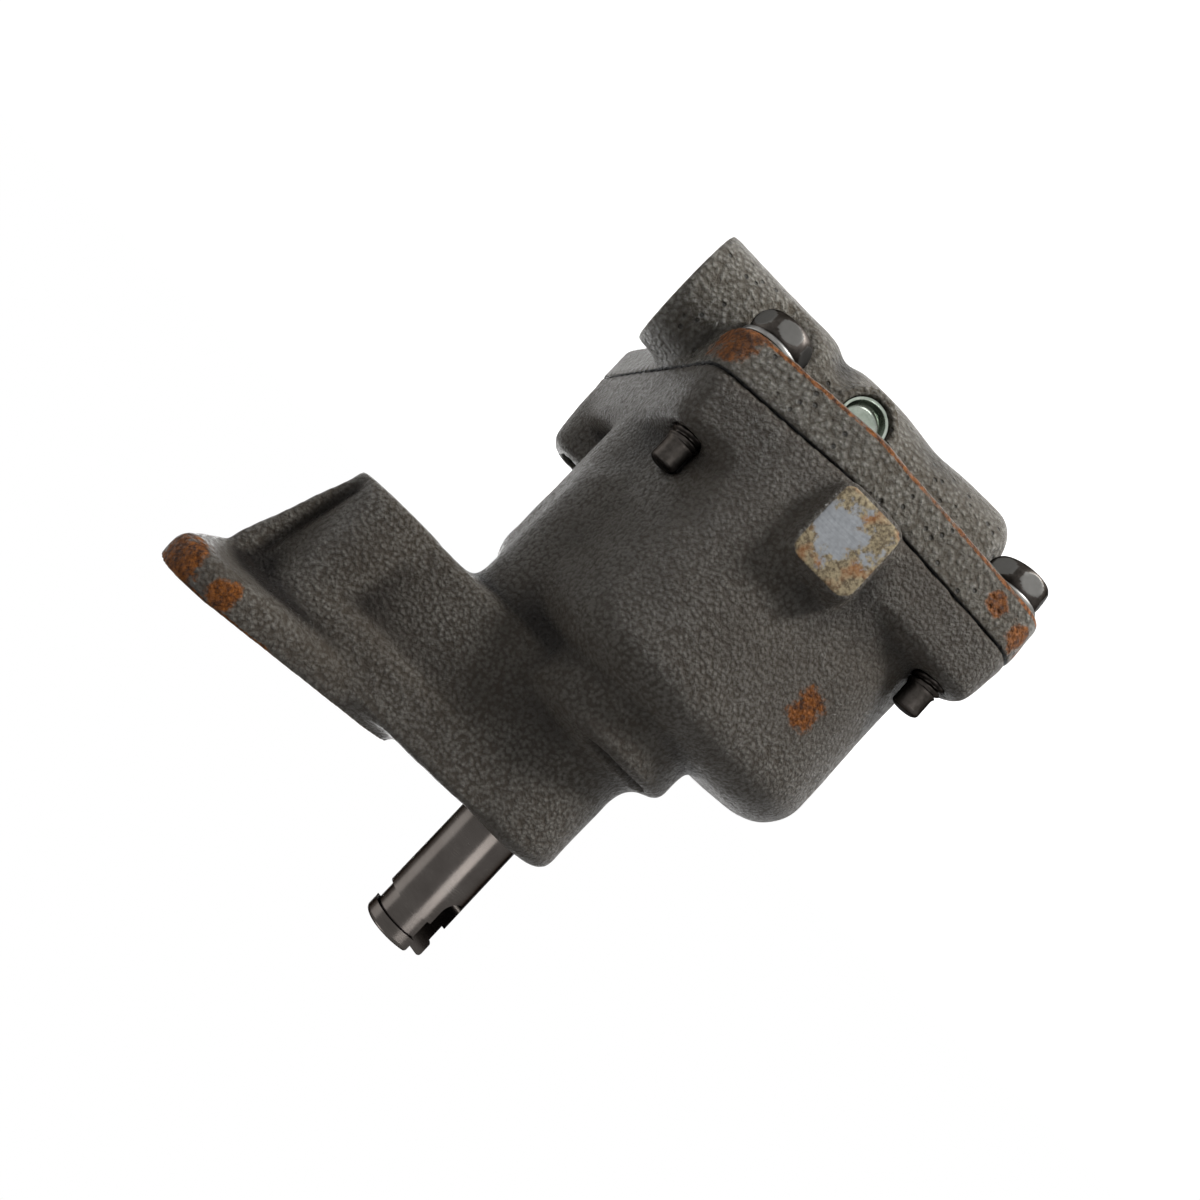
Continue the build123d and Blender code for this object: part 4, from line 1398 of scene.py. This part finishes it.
@dataclass
class Studio:
    """Pale floor, white surroundings, soft lamps and the camera.

    Attributes:
        floor_drop: distance from the part's lowest point to the floor, in metres.
        floor_half: half of the floor's side, in metres.
        middle: the part's middle, which the lamps face, in metres.
        camera_mm: the camera's place, in millimetres.
        focal_pixels: focal length in pixels of the picture.
        picture_pixels: width and height of the picture.
    """

    floor_drop: float = 0.03
    floor_half: float = 2.5
    middle: tuple = (0.01, 0.01, -0.05)
    camera_mm: tuple = (31.06, -175.17, -24.26)
    focal_pixels: float = 986.0
    picture_pixels: float = 1200.0

    def seen_share(self, tree: Tree) -> Socket:
        """Mask that is 1 for rays from the camera, off a glossy surface or through a clear one.

        Args:
            tree: the node tree.

        Returns:
            The mask's socket.
        """
        kinds = ("Is Camera Ray", "Is Glossy Ray", "Is Transmission Ray")
        seen, *others = [add_node(tree, "LightPath", out=kind) for kind in kinds]
        for kind in others:
            seen = add_node(tree, "Math", {0: seen, 1: kind}, operation="MAXIMUM")
        return seen

    def floor(self) -> None:
        """Lay the floor: white to the camera where it is lit, with the part's shadow kept."""
        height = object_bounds()[0][2] - self.floor_drop
        half = self.floor_half
        corners = [(x * half, y * half, height) for x, y in ((-1, -1), (1, -1), (1, 1), (-1, 1))]
        mesh = bpy.data.meshes.new("floor")
        mesh.from_pydata(corners, [], [(0, 1, 2, 3)])
        material = bpy.data.materials.new("pale_floor")
        tree = empty_tree(material)
        matt = add_node(tree, "BsdfDiffuse", {0: linear("f2f2f0")})
        place = add_node(tree, "TexCoord", out="Object")
        away = add_node(tree, "VectorMath", {0: place}, out="Value", operation="LENGTH")
        level = add_node(tree, "MapRange", {0: away, 1: 0.15, 2: 0.45, 3: 0.88, 4: 1.0})
        glow = add_node(tree, "Emission", {0: (1.0, 1.0, 1.0, 1.0), 1: level})
        lifted = add_node(tree, "AddShader", {0: matt, 1: glow})
        mixed = add_node(tree, "MixShader", {0: self.seen_share(tree), 1: matt, 2: lifted})
        add_node(tree, "OutputMaterial", {0: mixed})
        mesh.materials.append(material)
        piece = new_object("floor", mesh)
        piece.visible_shadow = False
        piece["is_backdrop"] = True

    def surroundings(self) -> None:
        """White to the camera, and a plain soft grey as light."""
        world = bpy.data.worlds.new("studio")
        tree = empty_tree(world)
        soft = add_node(tree, "Background", {0: linear("e4e4e2"), 1: 0.05})
        white = add_node(tree, "Background", {0: (1.0, 1.0, 1.0, 1.0), 1: 1.0})
        mixed = add_node(tree, "MixShader", {0: self.seen_share(tree), 1: soft, 2: white})
        add_node(tree, "OutputWorld", {0: mixed})
        bpy.context.scene.world = world

    def lamp(
        self, name: str, toward: tuple, distance: float, size: float, power: float, wide: float = 1.0
    ) -> None:
        """Area lamp that faces the part's middle.

        Args:
            name: the lamp's name.
            toward: direction from the part to the lamp.
            distance: how far away it stands, in metres.
            size: its height in metres.
            power: its power in watts.
            wide: how many times its height it is wide.
        """
        middle = Vector(self.middle)
        data = bpy.data.lights.new(name, "AREA")
        data.shape = "RECTANGLE"
        data.size = size * wide
        data.size_y = size
        data.energy = power
        lamp = new_object(name, data)
        lamp.location = middle + Vector(toward).normalized() * distance
        lamp.rotation_euler = (middle - lamp.location).to_track_quat("-Z", "Y").to_euler()
        lamp.visible_camera = False

    def camera(self) -> None:
        """Camera at the photograph's angle and distance."""
        right = Vector((-0.7109, -0.1466, -0.6879))
        down = Vector((-0.6965, 0.0111, 0.7174))
        forward = Vector((-0.0975, 0.9891, -0.1100))
        data = bpy.data.cameras.new("camera")
        data.sensor_width = 36.0
        data.sensor_fit = "HORIZONTAL"
        data.lens = self.focal_pixels / self.picture_pixels * data.sensor_width
        data.clip_start = 0.01
        camera = new_object("camera", data)
        turn = Matrix((right, -down, -forward)).transposed().to_4x4()
        camera.matrix_world = Matrix.Translation(Vector(self.camera_mm) * MM) @ turn
        bpy.context.scene.camera = camera

    def build(self) -> None:
        """Build floor, surroundings, lamps and camera."""
        self.floor()
        self.surroundings()
        self.lamp("key", (-0.40, -0.42, -0.81), 0.50, 0.09, 4.4)
        self.lamp("side", (-0.36, -0.89, 0.28), 0.50, 0.06, 0.52, wide=4.0)
        self.lamp("above", (0.35, -0.05, 0.93), 0.60, 0.20, 0.8)
        self.lamp("rear", (0.1, 0.9, 0.3), 0.60, 0.40, 2.0)
        self.lamp("inlet side", (0.95, 0.1, 0.1), 0.60, 0.40, 1.2)
        self.camera()
        bpy.context.scene.view_settings.view_transform = "Standard"


def finishes() -> dict:
    """Build every finish.

    Returns:
        Material slot to material.
    """
    low, high = box_mm("pump_body")
    seam = box_mm("pump_cover")[1][2]
    body_stains = (
        Stain((66.0, -22.0, -2.5), 9.0),
        Stain((56.2, -24.5, -2.7), 6.0),
        Stain((-22.5, -19.0, -53.0), 8.0, 0.9),
    )
    cover_stains = (
        Stain((29.0, -15.0, -90.5), 11.0),
        Stain((-33.5, -20.5, -88.1), 4.0, 1.2),
        Stain((-40.6, -19.0, -86.8), 5.5),
        Stain((-43.2, -14.0, -86.5), 6.0),
    )
    body_cuts = (CutFace(Axis.Y, low[1], -1), CutFace(Axis.Z, high[2], 1))
    cover_cuts = (CutFace(Axis.X, CoverCasting.inlet_face_x, 1, far_y=20.0),)
    clean_spot = (-4.0, low[1], -75.5)
    made = (
        SandCastIron(
            "body_iron", "716e68", "39332c", "0c0704", grain_mm=0.75, depth_mm=0.85, seam_mm=seam,
            cut_faces=body_cuts, stains=body_stains, clean_spot=clean_spot, rim_mm=0.0,
        ),
        SandCastIron(
            "cover_iron", "86847d", "484239", "0f0a06", grain_mm=1.0, depth_mm=1.10, seam_mm=seam,
            cut_faces=cover_cuts, stains=cover_stains, clean_spot=clean_spot, rim_mm=seam - 8.1,
            pits=0.7,
        ),
        TurnedSteel(
            "shaft_steel", "4b4744", "413d3a", 0.23, stretch=(1.0, 1.0, 14.0), pattern_mm=1.6,
            depth_mm=0.002,
        ),
        TurnedSteel("gear_steel", "8a8883", "6a6864", 0.35, stretch=(1.0, 1.0, 8.0)),
        TurnedSteel("pin_steel", "9a9893", "7a7874", 0.3),
        TurnedSteel("spring_steel", "6f6f70", "4c4c4e", 0.35),
        TurnedSteel(
            "bolt_black", "423e3b", "2c2926", 0.42, pattern_mm=0.8, depth_mm=0.006, worn="52514f"
        ),
        TurnedSteel(
            "washer_black", "504e4c", "3c3a38", 0.40, pattern_mm=1.6, depth_mm=0.004, worn="6f6e6c"
        ),
        TurnedSteel("plug_zinc", "a2a8a0", "7c857a", 0.26, pattern_mm=3.0, depth_mm=0.006),
    )
    return {finish.slot: finish.build() for finish in made}


def dress_frame(materials: dict) -> None:
    """Give every CAD node the material of its slot.

    Args:
        materials: slot to material.
    """
    for part in frame["record"]["subparts"]:
        data = frame["nodes"][part["node"]].data
        data.materials.clear()
        data.materials.append(materials[part["material_slot"]])


def main() -> None:
    """Build every piece, the materials, the studio and the camera."""
    logging.basicConfig(level=logging.INFO, format="%(name)s %(message)s")
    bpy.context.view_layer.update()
    materials = finishes()
    dress_frame(materials)
    spacing = NET_MM
    BodyCasting(spacing_mm=spacing).build(materials["body_iron"])
    CoverCasting(spacing_mm=COVER_NET_SHARE * spacing).build(materials["cover_iron"])
    for number in COVER_BOLTS:
        CoverFastener(number).build(materials["bolt_black"], materials["washer_black"])
    CupPlug().build(materials["plug_zinc"])
    ReliefSpring().build(materials["spring_steel"])
    Studio().build()


if __name__ == "__main__":
    main()
